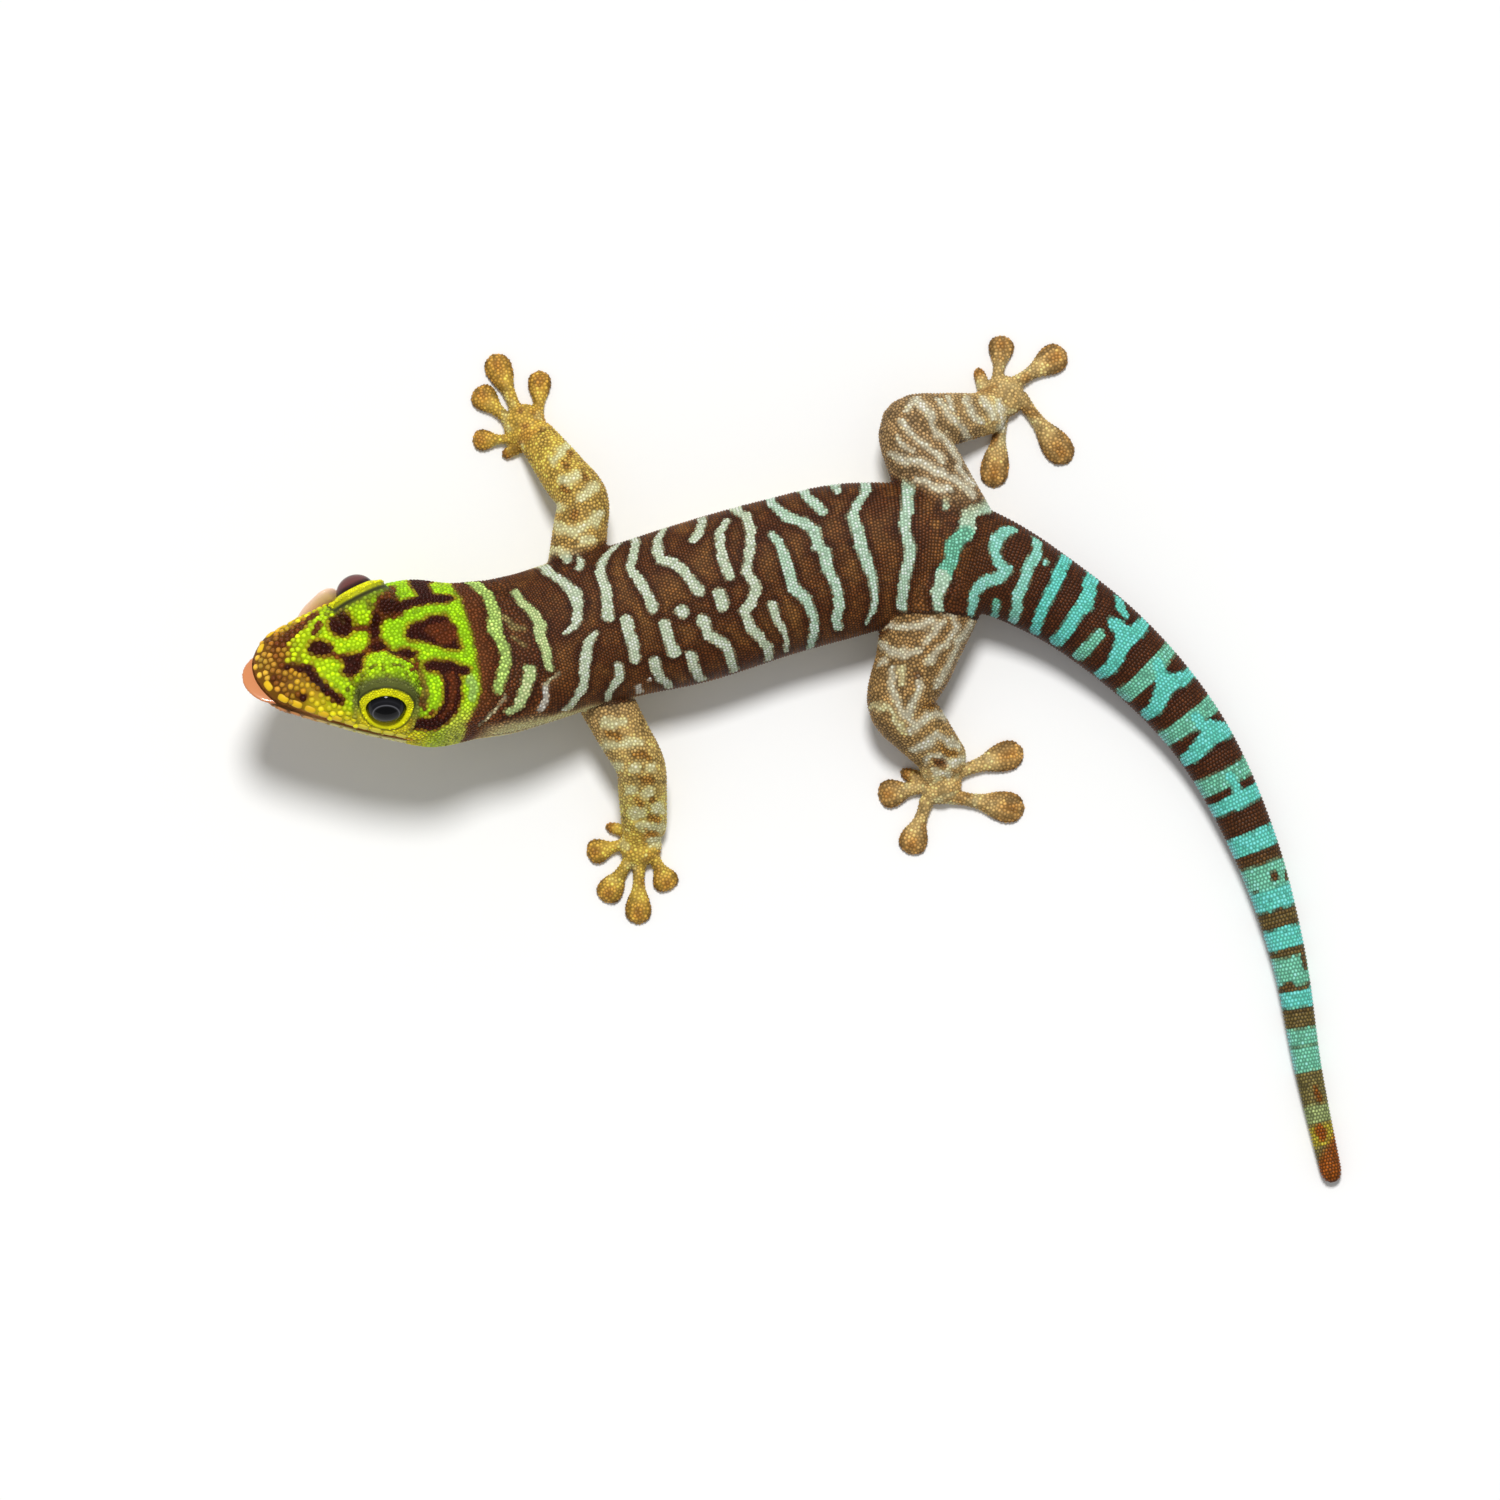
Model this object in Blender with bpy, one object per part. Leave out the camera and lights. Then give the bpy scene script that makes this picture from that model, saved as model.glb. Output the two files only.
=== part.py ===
"""A young day gecko, life size, with its head raised and its tongue out to lick its right eye.

The tables are in millimetres and become metres when a mesh is made. The head points to -X, the
animal's right side to +Y, and Z is up. The origin is on the floor under the middle of the animal.
"""

import math

import bmesh
import bpy
import numpy as np
from mathutils import Matrix, Vector

MM = 0.001
GAP = 0.3  # left between two nodes that touch
FLOOR = 0.0

# The head's axis runs from the nape to the tip of the snout
NAPE = Vector((-26.2, 8.4, 9.0))
HEAD_LENGTH = 17.5
HEAD_TURN = math.radians(5.0)  # towards the animal's left
HEAD_TILT = math.radians(11.0)  # nose up
HEAD_ROLL = math.radians(32.0)  # left side up
SNOUT_ROUND = 2.2
TAIL_ROUND = 1.2

# How far behind the snout, half width, height over the axis and depth under it
HEAD_SECTIONS = (
    (0.0, 2.7, 1.25, 1.6),
    (2.0, 3.5, 1.65, 1.95),
    (4.0, 4.4, 2.15, 2.4),
    (6.0, 5.2, 2.6, 2.95),
    (8.0, 5.98, 2.95, 3.6),
    (10.5, 6.7, 3.2, 4.5),
    (14.0, 7.2, 3.2, 6.3),
    (17.5, 6.5, 3.1, 7.2),
)

# Neck, trunk and tail: x, y, z, half width, height over and depth under, roll in degrees
TRUNK_SECTIONS = (
    (-23.5, 8.5, 8.1, 6.4, 3.4, 6.3, 26),
    (-21.1, 8.95, 7.2, 6.2, 3.8, 5.3, 17),
    (-17.1, 10.2, 6.0, 6.1, 4.1, 4.8, 6),
    (-13.4, 11.15, 5.3, 6.15, 4.3, 4.6, 1),
    (-9.0, 12.3, 5.0, 6.4, 4.3, 4.5, 0),
    (-1.2, 14.65, 4.7, 6.3, 4.3, 4.2, 0),
    (5.3, 16.2, 4.7, 6.1, 4.2, 4.2, 0),
    (10.3, 16.7, 4.6, 5.3, 3.9, 4.0, 0),
    (15.6, 15.75, 4.2, 4.1, 3.4, 3.5, 0),
    (20.6, 13.2, 3.5, 3.45, 2.95, 3.1, 0),
    (25.85, 9.4, 2.9, 3.1, 2.6, 2.8, 0),
    (32.45, 2.3, 2.1, 2.5, 2.1, 2.2, 0),
    (36.95, -6.3, 1.6, 1.95, 1.65, 1.7, 0),
    (39.85, -15.5, 1.2, 1.45, 1.25, 1.3, 0),
    (41.55, -25.0, 0.93, 1.12, 0.95, 1.03, 0),
    (43.6, -34.1, 0.72, 0.85, 0.7, 0.8, 0),
)

# Where the nodes of the trunk end, as distances behind the snout tip
NECK_END = 23.4
TORSO_END = 61.0
TAIL_BASE_END = 77.0
TAIL_MIDDLE_END = 98.0

# Eyes, in the head's own directions: behind the snout, to the side and over the axis
EYE_SIDE = 4.42
EYE_OVER = 1.7
EYE_RADIUS = 1.62  # of its outline in the ring of the lids
EYE_EDGE = 1.13  # the round front starts this far out
# For the left eye, 1, and for the right, which bulges under the tongue's tip, -1
EYE_BACK = {1: 10.1, -1: 9.6}
EYE_HIGH = {1: 1.1, -1: 1.5}  # of its low dome
EYE_LOOK_UP = {1: math.radians(3.0), -1: math.radians(21.0)}
EYE_LOOK_FORWARD = {1: math.radians(10.0), -1: math.radians(20.0)}
LID_RING = 2.15
LID_OUT = 0.95
LID_THICK = 0.32
BROW_RADIUS = 2.9
BROW_IN = 0.85  # the mound under the lids is centred this far inside the eye

# Mouth, nostrils, ears and lips
MOUTH_TIP_UNDER = -0.1
MOUTH_CORNER = 11.8
MOUTH_CORNER_UNDER = 1.2
MOUTH_OPEN_TIP = 0.7
MOUTH_OPEN_CORNER = 0.32
LIP_THICK = 0.3
NOSTRIL_BACK = 1.7
NOSTRIL_SIDE = 2.2
NOSTRIL_OVER = 0.75
NOSTRIL_RADIUS = 0.5
EAR_BACK = 15.3
EAR_UNDER = 2.0
EAR_RADII = (0.75, 1.0, 1.25)

# The tongue is a pad in the front of the mouth and a band that folds back up the right side of
# the snout: behind the snout, to the left, over the axis, half width, half thickness, and the way
# its face looks, forward, left and up
TONGUE_PAD = (2.05, 0.55, -0.05)
TONGUE_PAD_RADII = (2.95, 2.6, 0.32)
TONGUE_BAND = (
    (2.2, -0.3, -0.07, 0.6, 0.26, (-0.2, 0.3, 1.0)),
    (1.9, -1.7, -0.25, 0.65, 0.3, (-0.3, 0.4, 0.9)),
    (2.4, -3.0, -0.9, 0.7, 0.34, (-0.3, 0.7, 0.7)),
    (3.7, -4.15, -1.55, 0.75, 0.38, (-0.3, 0.9, 0.4)),
    (5.0, -4.95, -1.5, 0.95, 0.42, (-0.3, 0.95, 0.2)),
    (5.95, -5.7, -0.6, 1.1, 0.46, (-0.25, 1.0, 0.1)),
    (6.6, -6.1, 0.3, 1.0, 0.44, (-0.2, 1.0, 0.0)),
)

# Legs: root inside the trunk, elbow or knee, wrist or ankle, middle of the palm, then the five
# toes, each from root to tip on the floor with its pad's half width. The first toe of each foot
# is a short stub.
LEGS = {
    "front_right": {
        "root": (-17.4, 14.6, 5.6), "bend": (-16.8, 20.9, 4.7), "wrist": (-20.4, 25.7, 1.75),
        "palm": (-21.5, 26.9), "upper": (2.4, 2.1), "lower": (1.95, 1.6),
        "toes": (((-22.0, 25.2), (-23.3, 24.4), 0.5), ((-22.4, 25.8), (-25.7, 25.7), 0.9),
                 ((-22.6, 27.1), (-25.5, 29.8), 1.12), ((-22.0, 27.7), (-24.1, 32.6), 1.15),
                 ((-20.4, 27.0), (-20.3, 31.3), 0.98)),
    },
    "front_left": {
        "root": (-15.9, 6.4, 5.2), "bend": (-12.1, -0.7, 4.5), "wrist": (-11.9, -5.2, 1.75),
        "palm": (-12.2, -6.9), "upper": (2.3, 2.0), "lower": (1.97, 1.85),
        "toes": (((-13.2, -5.8), (-15.0, -5.35), 0.5), ((-13.1, -6.7), (-16.5, -7.6), 1.05),
                 ((-12.9, -7.8), (-15.2, -11.4), 1.12), ((-12.3, -8.3), (-12.4, -13.25), 1.1),
                 ((-11.3, -7.5), (-9.8, -10.5), 1.1)),
    },
    "hind_right": {
        "root": (12.9, 17.4, 4.7), "bend": (9.5, 26.9, 4.0), "wrist": (15.6, 27.8, 1.8),
        "palm": (17.0, 29.2), "upper": (4.1, 2.4), "lower": (2.2, 1.7),
        "toes": (((15.6, 29.6), (14.9, 31.5), 0.55), ((16.5, 30.2), (16.95, 34.1), 1.08),
                 ((17.7, 30.1), (22.0, 32.9), 1.25), ((18.3, 29.2), (22.3, 23.9), 1.25),
                 ((17.0, 28.3), (16.1, 21.9), 1.2)),
    },
    "hind_left": {
        "root": (11.6, 13.65, 4.8), "bend": (8.75, 4.2, 4.0), "wrist": (12.15, 0.2, 1.8),
        "palm": (11.95, -1.9), "upper": (4.1, 2.65), "lower": (2.35, 1.9),
        "toes": (((11.2, -1.9), (8.75, -0.95), 0.6), ((11.0, -2.1), (6.95, -2.95), 1.2),
                 ((10.9, -3.2), (9.4, -7.6), 1.2), ((12.6, -2.9), (18.7, -4.1), 1.3),
                 ((12.8, -1.2), (18.6, 0.75), 1.25)),
    },
}
LIMB_FLATTER = 0.88  # height of a limb's section beside its width
PALM_RADII = (1.75, 1.75, 1.15)
PALM_MIDDLE_OVER = 0.75
# Along a toe from root to tip: share of its length, half width beside its pad's, and height
TOE_SHAPE = (
    (0.0, 0.55, 1.25), (0.28, 0.45, 1.1), (0.44, 0.55, 1.0), (0.6, 0.85, 0.92),
    (0.73, 1.0, 0.88), (0.85, 0.96, 0.82), (0.94, 0.72, 0.68), (1.0, 0.32, 0.4),
)
STUB_SHAPE = ((0.0, 1.2, 1.2), (0.5, 1.0, 0.95), (0.85, 0.8, 0.75), (1.0, 0.45, 0.4))
UNDER_FLOOR = 0.25  # what stands on the floor starts this far below it and is cut flat

COLOURS = {
    "head": (0.42, 0.62, 0.03), "lower_jaw": (0.62, 0.58, 0.12), "tongue": (0.80, 0.42, 0.30),
    "eye": (0.015, 0.013, 0.012), "trunk": (0.16, 0.075, 0.035), "tail": (0.10, 0.45, 0.36),
    "leg": (0.40, 0.27, 0.10), "foot": (0.55, 0.36, 0.06),
}


def clear_scene():
    """Remove what the file holds at the start."""
    for found in list(bpy.data.objects):
        bpy.data.objects.remove(found)


def material(name, roughness=0.55):
    """The plain colour of one kind of part."""
    if name in bpy.data.materials:
        return bpy.data.materials[name]
    made = bpy.data.materials.new(name)
    made.use_nodes = True
    shader = made.node_tree.nodes["Principled BSDF"]
    shader.inputs["Base Color"].default_value = (*COLOURS[name], 1.0)
    shader.inputs["Roughness"].default_value = roughness
    shader.inputs["Metallic"].default_value = 0.0
    return made


def smooth_table(table, places):
    """Read every column of a table at these places, on smooth curves through its rows."""
    table = np.array(table, float)
    at, values = table[:, 0], table[:, 1:]
    slopes = np.gradient(values, at, axis=0)
    places = np.clip(places, at[0], at[-1])
    left = np.clip(np.searchsorted(at, places, side="right") - 1, 0, len(at) - 2)
    width = (at[left + 1] - at[left])[:, None]
    part = (places - at[left])[:, None] / width
    start = 2 * part**3 - 3 * part**2 + 1
    rise = (part**3 - 2 * part**2 + part) * width
    fall = (part**3 - part**2) * width
    end = 1 - start
    return (start * values[left] + rise * slopes[left]
            + end * values[left + 1] + fall * slopes[left + 1])


def head_axes():
    """Forward, left and up of the head, with its turn, tilt and roll."""
    level = Vector((-math.cos(HEAD_TURN), -math.sin(HEAD_TURN), 0.0))
    forward = level * math.cos(HEAD_TILT) + Vector((0, 0, math.sin(HEAD_TILT)))
    side = Vector((0, 0, 1)).cross(forward).normalized()
    over = forward.cross(side)
    left = side * math.cos(HEAD_ROLL) + over * math.sin(HEAD_ROLL)
    return forward, left, forward.cross(left)


def head_point(back, left, over):
    """A place in the head's own directions, as a place in the world."""
    forward, side, up = head_axes()
    return NAPE + forward * (HEAD_LENGTH - back) + side * left + up * over


def body_table():
    """Head, neck, trunk and tail as one table: distance behind the snout, then its sections."""
    rows = []
    for back, width, over, under in HEAD_SECTIONS:
        rows.append((back, *head_point(back, 0, 0), width, over, under, math.degrees(HEAD_ROLL)))
    for row in TRUNK_SECTIONS:
        step = math.dist(rows[-1][1:4], row[:3])
        rows.append((rows[-1][0] + step, *row))
    return rows


BODY = body_table()
BODY_LENGTH = BODY[-1][0]


def end_rounding(back):
    """How far the sections shrink near the snout and the tip of the tail."""
    snout = np.clip(1 - back / SNOUT_ROUND, 0, 1)
    tail = np.clip(1 - (BODY_LENGTH - back) / TAIL_ROUND, 0, 1)
    return np.sqrt(np.clip(1 - np.maximum(snout, tail) ** 2, 0.0, 1.0))


def body_frames(back):
    """Middle, left and up of the body's section at each distance behind the snout."""
    step = 0.05
    here = smooth_table(BODY, back)
    ahead = smooth_table(BODY, back - step)[:, :3]
    behind = smooth_table(BODY, back + step)[:, :3]
    forward = ahead - behind
    forward /= np.linalg.norm(forward, axis=1)[:, None]
    side = np.cross((0, 0, 1), forward)
    side /= np.linalg.norm(side, axis=1)[:, None]
    over = np.cross(forward, side)
    roll = np.radians(here[:, 6])[:, None]
    left = side * np.cos(roll) + over * np.sin(roll)
    up = over * np.cos(roll) - side * np.sin(roll)
    return here, left, up


def body_rings(back, sides, grow=0.0):
    """Rings of points round the body, from the ridge of the back over the left side."""
    back = np.asarray(back, float)
    here, left, up = body_frames(back)
    turn = np.linspace(0, 2 * np.pi, sides, endpoint=False)
    ease = 2 / 2.2
    across = np.sign(np.sin(turn)) * np.abs(np.sin(turn)) ** ease
    height = np.sign(np.cos(turn)) * np.abs(np.cos(turn)) ** ease
    shrink = end_rounding(back)[:, None]
    width = here[:, 3:4] * shrink + grow
    over = here[:, 4:5] * shrink + grow
    under = here[:, 5:6] * shrink + grow
    rise = np.where(height > 0, over * height, under * height)
    return (here[:, None, :3] + left[:, None] * (width * across)[..., None]
            + up[:, None] * rise[..., None])


def mesh_from_rings(name, rings):
    """A closed mesh through rings of points, with a flat cap at each end."""
    count, sides = rings.shape[:2]
    mesh = bmesh.new()
    rows = [[mesh.verts.new(point) for point in ring] for ring in rings]
    for first, second in zip(rows, rows[1:]):
        for i in range(sides):
            j = (i + 1) % sides
            mesh.faces.new((first[i], first[j], second[j], second[i]))
    mesh.faces.new(rows[0][::-1])
    mesh.faces.new(rows[-1])
    return object_from(name, mesh)


def object_from(name, mesh):
    """An object from a bmesh, its faces pointing out."""
    bmesh.ops.recalc_face_normals(mesh, faces=mesh.faces)
    data = bpy.data.meshes.new(name)
    mesh.to_mesh(data)
    mesh.free()
    made = bpy.data.objects.new(name, data)
    bpy.context.scene.collection.objects.link(made)
    return made


def body_piece(name, start, end, rings, sides, grow=0.0):
    """A length of the body between two distances behind the snout."""
    ease = np.linspace(0, 1, rings)
    if start <= 0:
        ease = ease**1.6
    if end >= BODY_LENGTH:
        ease = 1 - (1 - ease) ** 1.35
    return mesh_from_rings(name, body_rings(start + (end - start) * ease, sides, grow))


def sweep(name, middles, widths, heights, sides, up=None, rounded=True):
    """A closed rod through these places, its section an ellipse of these half sizes."""
    middles = np.array(middles, float)
    faces = np.broadcast_to(np.array((0, 0, 1) if up is None else up, float), middles.shape)
    gone = np.r_[0, np.cumsum(np.linalg.norm(np.diff(middles, axis=0), axis=1))]
    table = np.column_stack([gone, middles, widths, heights, faces])
    if rounded:
        turns = np.linspace(0.12, math.pi / 2, 4)
        start, end = widths[0], widths[-1]
        places = np.r_[-start * np.cos(turns), np.linspace(0, gone[-1], 7)[1:-1],
                       gone[-1] + end * np.cos(turns[::-1])]
        shrink = np.r_[np.sin(turns), np.ones(5), np.sin(turns[::-1])]
    else:
        places = np.linspace(0, gone[-1], 3 * len(middles))
        shrink = np.ones(len(places))
    here = smooth_table(table, places)
    along = np.gradient(smooth_table(table, np.linspace(0, gone[-1], 60))[:, :3], axis=0)
    along = along[np.clip((places / gone[-1] * 59).round().astype(int), 0, 59)]
    along /= np.linalg.norm(along, axis=1)[:, None]
    beyond = np.where(places < 0, places, np.clip(places - gone[-1], 0, None))
    centre = here[:, :3] + along * beyond[:, None]
    side = np.cross(here[:, 5:8], along)
    side /= np.linalg.norm(side, axis=1)[:, None]
    over = np.cross(along, side)
    turn = np.linspace(0, 2 * np.pi, sides, endpoint=False)
    rings = (centre[:, None] + side[:, None] * (here[:, 3:4] * shrink[:, None] * np.cos(turn))[..., None]
             + over[:, None] * (here[:, 4:5] * shrink[:, None] * np.sin(turn))[..., None])
    return mesh_from_rings(name, rings)


def ellipsoid(name, middle, axes, radii, segments=16, rings=10):
    """A ball stretched along three directions."""
    mesh = bmesh.new()
    bmesh.ops.create_uvsphere(mesh, u_segments=segments, v_segments=rings, radius=1.0)
    columns = [Vector(axis) * radius for axis, radius in zip(axes, radii)]
    place = Matrix(columns).transposed().to_4x4()
    place.translation = Vector(middle)
    bmesh.ops.transform(mesh, matrix=place, verts=mesh.verts)
    return object_from(name, mesh)


def read_back(made, mesh):
    """Put the mesh back on its object and return the object."""
    bmesh.ops.recalc_face_normals(mesh, faces=mesh.faces)
    mesh.to_mesh(made.data)
    mesh.free()
    return made


def closed_parts(mesh):
    """The faces of each separate closed surface, the largest volume first."""
    left_over = set(mesh.faces)
    found = []
    while left_over:
        seed = left_over.pop()
        part, edge_of = {seed}, [seed]
        while edge_of:
            for edge in edge_of.pop().edges:
                for other in edge.link_faces:
                    if other in left_over:
                        left_over.discard(other)
                        part.add(other)
                        edge_of.append(other)
        found.append(part)
    middle = sum((v.co for v in mesh.verts), Vector()) / max(len(mesh.verts), 1)

    def volume(part):
        total = 0.0
        for face in part:
            corners = [loop.vert.co - middle for loop in face.loops]
            for b, c in zip(corners[1:], corners[2:]):
                total += corners[0].dot(b.cross(c)) / 6
        return abs(total)

    return sorted(found, key=volume, reverse=True)


def keep_closed(made, which=0):
    """Keep one closed surface of the object, the largest unless another is asked for."""
    mesh = bmesh.new()
    mesh.from_mesh(made.data)
    parts = closed_parts(mesh)
    drop = [face for i, part in enumerate(parts) if i != which for face in part]
    if drop:
        bmesh.ops.delete(mesh, geom=drop, context="FACES")
        loose = [v for v in mesh.verts if not v.link_faces]
        bmesh.ops.delete(mesh, geom=loose, context="VERTS")
    return read_back(made, mesh)


def applied(made):
    """Turn what the modifiers show into the object's own mesh."""
    seen = made.evaluated_get(bpy.context.evaluated_depsgraph_get())
    data = bpy.data.meshes.new_from_object(seen)
    made.modifiers.clear()
    made.data = data
    return made


def fuse(made, pieces, solver="EXACT"):
    """Join closed pieces into one closed body."""
    group = bpy.data.collections.new("fused")
    bpy.context.scene.collection.children.link(group)
    for piece in pieces:
        bpy.context.scene.collection.objects.unlink(piece)
        group.objects.link(piece)
    join = made.modifiers.new("join", "BOOLEAN")
    join.operation = "UNION"
    join.operand_type = "COLLECTION"
    join.collection = group
    join.solver = solver
    applied(made)
    for piece in pieces:
        bpy.data.objects.remove(piece)
    bpy.data.collections.remove(group)
    return keep_closed(made)


def cut(made, cutter, solver="EXACT", keep=True):
    """Take one closed shape out of another."""
    trim = made.modifiers.new("cut", "BOOLEAN")
    trim.operation = "DIFFERENCE"
    trim.object = cutter
    trim.solver = solver
    applied(made)
    return keep_closed(made) if keep else made


def slice_off(made, place, outward):
    """Cut the object with a plane, drop what lies outward of it and close the cut."""
    mesh = bmesh.new()
    mesh.from_mesh(made.data)
    everything = mesh.verts[:] + mesh.edges[:] + mesh.faces[:]
    bmesh.ops.bisect_plane(mesh, geom=everything, dist=1e-4, plane_co=place, plane_no=outward,
                           clear_outer=True)
    rim = [edge for edge in mesh.edges if edge.is_boundary]
    bmesh.ops.holes_fill(mesh, edges=rim, sides=0)
    return read_back(made, mesh)


def finish(made, colour, roughness=0.55):
    """Scale a finished node to metres, shade it and give it its material."""
    mesh = bmesh.new()
    mesh.from_mesh(made.data)
    bmesh.ops.remove_doubles(mesh, verts=mesh.verts, dist=0.004)
    bmesh.ops.dissolve_degenerate(mesh, edges=mesh.edges, dist=0.004)
    bmesh.ops.triangulate(mesh, faces=mesh.faces)
    bmesh.ops.scale(mesh, verts=mesh.verts, vec=(MM, MM, MM))
    read_back(made, mesh)
    made.data.materials.clear()
    made.data.materials.append(material(colour, roughness))
    made.data.shade_smooth()
    made.data.set_sharp_from_angle(angle=math.radians(40))
    return made


def mouth_height(back):
    """How far the line of the mouth lies under the head's axis."""
    share = np.clip(np.asarray(back, float) / MOUTH_CORNER, 0, 1)
    return -(MOUTH_TIP_UNDER + (MOUTH_CORNER_UNDER - MOUTH_TIP_UNDER) * share**1.6)


def mouth_opening(back):
    """How far the jaws are apart."""
    share = np.clip(np.asarray(back, float) / MOUTH_CORNER, 0, 1)
    return MOUTH_OPEN_CORNER + (MOUTH_OPEN_TIP - MOUTH_OPEN_CORNER) * (1 - share) ** 1.5


def mouth_cutter():
    """The thin space between the jaws, and behind the corner of the mouth down the throat."""
    backs = np.linspace(-2.5, MOUTH_CORNER, 10)
    lower = [(b, mouth_height(b) - mouth_opening(b) / 2) for b in backs]
    upper = [(b, mouth_height(b) + mouth_opening(b) / 2) for b in backs]
    throat = (MOUTH_CORNER + 1.6, -10.0)
    outline = lower + [throat, (throat[0] + MOUTH_OPEN_CORNER, throat[1])] + upper[::-1]
    half = 10.0
    mesh = bmesh.new()
    near = [mesh.verts.new(head_point(b, -half, over)) for b, over in outline]
    far = [mesh.verts.new(head_point(b, half, over)) for b, over in outline]
    count = len(outline)
    for i in range(count):
        j = (i + 1) % count
        mesh.faces.new((near[i], near[j], far[j], far[i]))
    mesh.faces.new(near[::-1])
    mesh.faces.new(far)
    return object_from("mouth_cutter", mesh)


def eye_middle(side):
    """The middle of the left eye for 1 and of the right eye for -1."""
    return head_point(EYE_BACK[side], side * EYE_SIDE, EYE_OVER)


def eye_axis(side):
    """The way an eye looks: out, a little up and forward."""
    forward, left, up = head_axes()
    raised, turned = EYE_LOOK_UP[side], EYE_LOOK_FORWARD[side]
    out = left * side * math.cos(raised) + up * math.sin(raised)
    return (out * math.cos(turned) + forward * math.sin(turned)).normalized()


def eye_plug(name, side, grow):
    """The round body of an eye under its dome, or the hole for it, which is larger by grow."""
    middle, axis = eye_middle(side), eye_axis(side)
    across = axis.cross(head_axes()[0]).normalized()
    around = axis.cross(across)
    radius = EYE_RADIUS + grow
    outline = [(radius, -grow)] + [(radius * math.cos(math.radians(a)),
                                    EYE_EDGE + (EYE_HIGH[side] + grow) * math.sin(math.radians(a)))
                                   for a in (0, 22, 44, 64, 80)]
    turn = [2 * math.pi * i / 20 for i in range(20)]
    rings = [[middle + (across * math.cos(a) + around * math.sin(a)) * r + axis * out for a in turn]
             for r, out in outline]
    if grow:
        rings = rings[:2] + [[point + axis * 2 * radius for point in rings[1]]]
    return mesh_from_rings(name, np.array(rings))


def ring_on(name, middle, axis, radius, thick, turns=22, sides=6):
    """A round ring of round section."""
    mesh = bmesh.new()
    place = Matrix.Translation(middle) @ axis.to_track_quat("Z", "Y").to_matrix().to_4x4()
    rows = []
    for i in range(turns):
        angle = 2 * math.pi * i / turns
        out = Vector((math.cos(angle), math.sin(angle), 0))
        row = []
        for j in range(sides):
            tilt = 2 * math.pi * j / sides
            point = out * (radius + thick * math.cos(tilt)) + Vector((0, 0, thick * math.sin(tilt)))
            row.append(mesh.verts.new(place @ point))
        rows.append(row)
    for i in range(turns):
        first, second = rows[i], rows[(i + 1) % turns]
        for j in range(sides):
            k = (j + 1) % sides
            mesh.faces.new((first[j], first[k], second[k], second[j]))
    return object_from(name, mesh)


def skin_place(back, side, over):
    """Half width of the head's section at this height, as a place in the head's directions."""
    row = smooth_table(HEAD_SECTIONS, np.array([back]))[0] * end_rounding(np.array([back]))[0]
    reach = row[1] if over > 0 else row[2]
    share = max(1 - (abs(over) / reach) ** 2.2, 0.0) ** (1 / 2.2)
    return side * row[0] * share


def lip(name, offset, backs):
    """The raised edge of one jaw, from the left corner round the snout to the right corner."""
    places = []
    for back in backs:
        over = float(mouth_height(back)) + offset * (float(mouth_opening(back)) / 2 + LIP_THICK * 1.05)
        places.append((back, skin_place(back, 1, over) - 0.1, over))
    round_tip = [head_point(*place) for place in places]
    mirrored = [head_point(back, -left, over) for back, left, over in reversed(places)]
    tip_over = float(mouth_height(0.0)) + offset * (MOUTH_OPEN_TIP / 2 + LIP_THICK * 1.05)
    points = round_tip + [head_point(backs[-1] - 0.1, 0.0, tip_over)] + mirrored
    sizes = [LIP_THICK] * len(points)
    return sweep(name, points, sizes, sizes, 6, up=head_axes()[2], rounded=False)


def make_head():
    """Upper head and lower jaw, with brows, lid rings, lips, nostrils and ears."""
    forward, left, up = head_axes()
    axes = (forward, left, up)
    head = body_piece("head", 0.05, HEAD_LENGTH - GAP / 2, 19, 28)
    added = []
    for side, word in ((1, "left"), (-1, "right")):
        brow = eye_middle(side) - eye_axis(side) * BROW_IN
        added.append(ellipsoid(f"brow_{word}", brow, axes, (BROW_RADIUS,) * 3, 18, 12))
    fuse(head, added)
    rings = [ring_on(f"lid_{word}", eye_middle(side) + eye_axis(side) * LID_OUT, eye_axis(side),
                     LID_RING, LID_THICK) for side, word in ((1, "left"), (-1, "right"))]
    fuse(head, rings)
    for side, word in ((1, "left"), (-1, "right")):
        hole = eye_plug(f"socket_{word}", side, GAP)
        cut(head, hole)
        bpy.data.objects.remove(hole)
        nostril = head_point(NOSTRIL_BACK, side * NOSTRIL_SIDE, NOSTRIL_OVER)
        hole = ellipsoid(f"nostril_{word}", nostril, axes, (NOSTRIL_RADIUS,) * 3, 8, 6)
        cut(head, hole)
        bpy.data.objects.remove(hole)
        ear = head_point(EAR_BACK, skin_place(EAR_BACK, side, -EAR_UNDER), -EAR_UNDER)
        hole = ellipsoid(f"ear_{word}", ear, axes, EAR_RADII, 10, 8)
        cut(head, hole)
        bpy.data.objects.remove(hole)
    cutter = mouth_cutter()
    cut(head, cutter, keep=False)
    bpy.data.objects.remove(cutter)
    jaw = head.copy()
    jaw.data = head.data.copy()
    jaw.name = "lower_jaw"
    bpy.context.scene.collection.objects.link(jaw)
    keep_closed(head, 0)
    keep_closed(jaw, 1)
    backs = np.linspace(MOUTH_CORNER - 0.8, 0.7, 11)
    fuse(head, [lip("upper_lip", 1, backs)])
    fuse(jaw, [lip("lower_lip", -1, backs)])
    cutter = tongue_body("tongue_cutter", GAP)
    cut(head, cutter)
    cut(jaw, cutter)
    bpy.data.objects.remove(cutter)
    finish(head, "head")
    finish(jaw, "lower_jaw")


def make_eyes():
    """Two eyes, each a round plug with a domed front."""
    for side, word in ((1, "left"), (-1, "right")):
        finish(eye_plug(f"eye_{word}", side, 0.0), "eye", 0.08)


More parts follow.
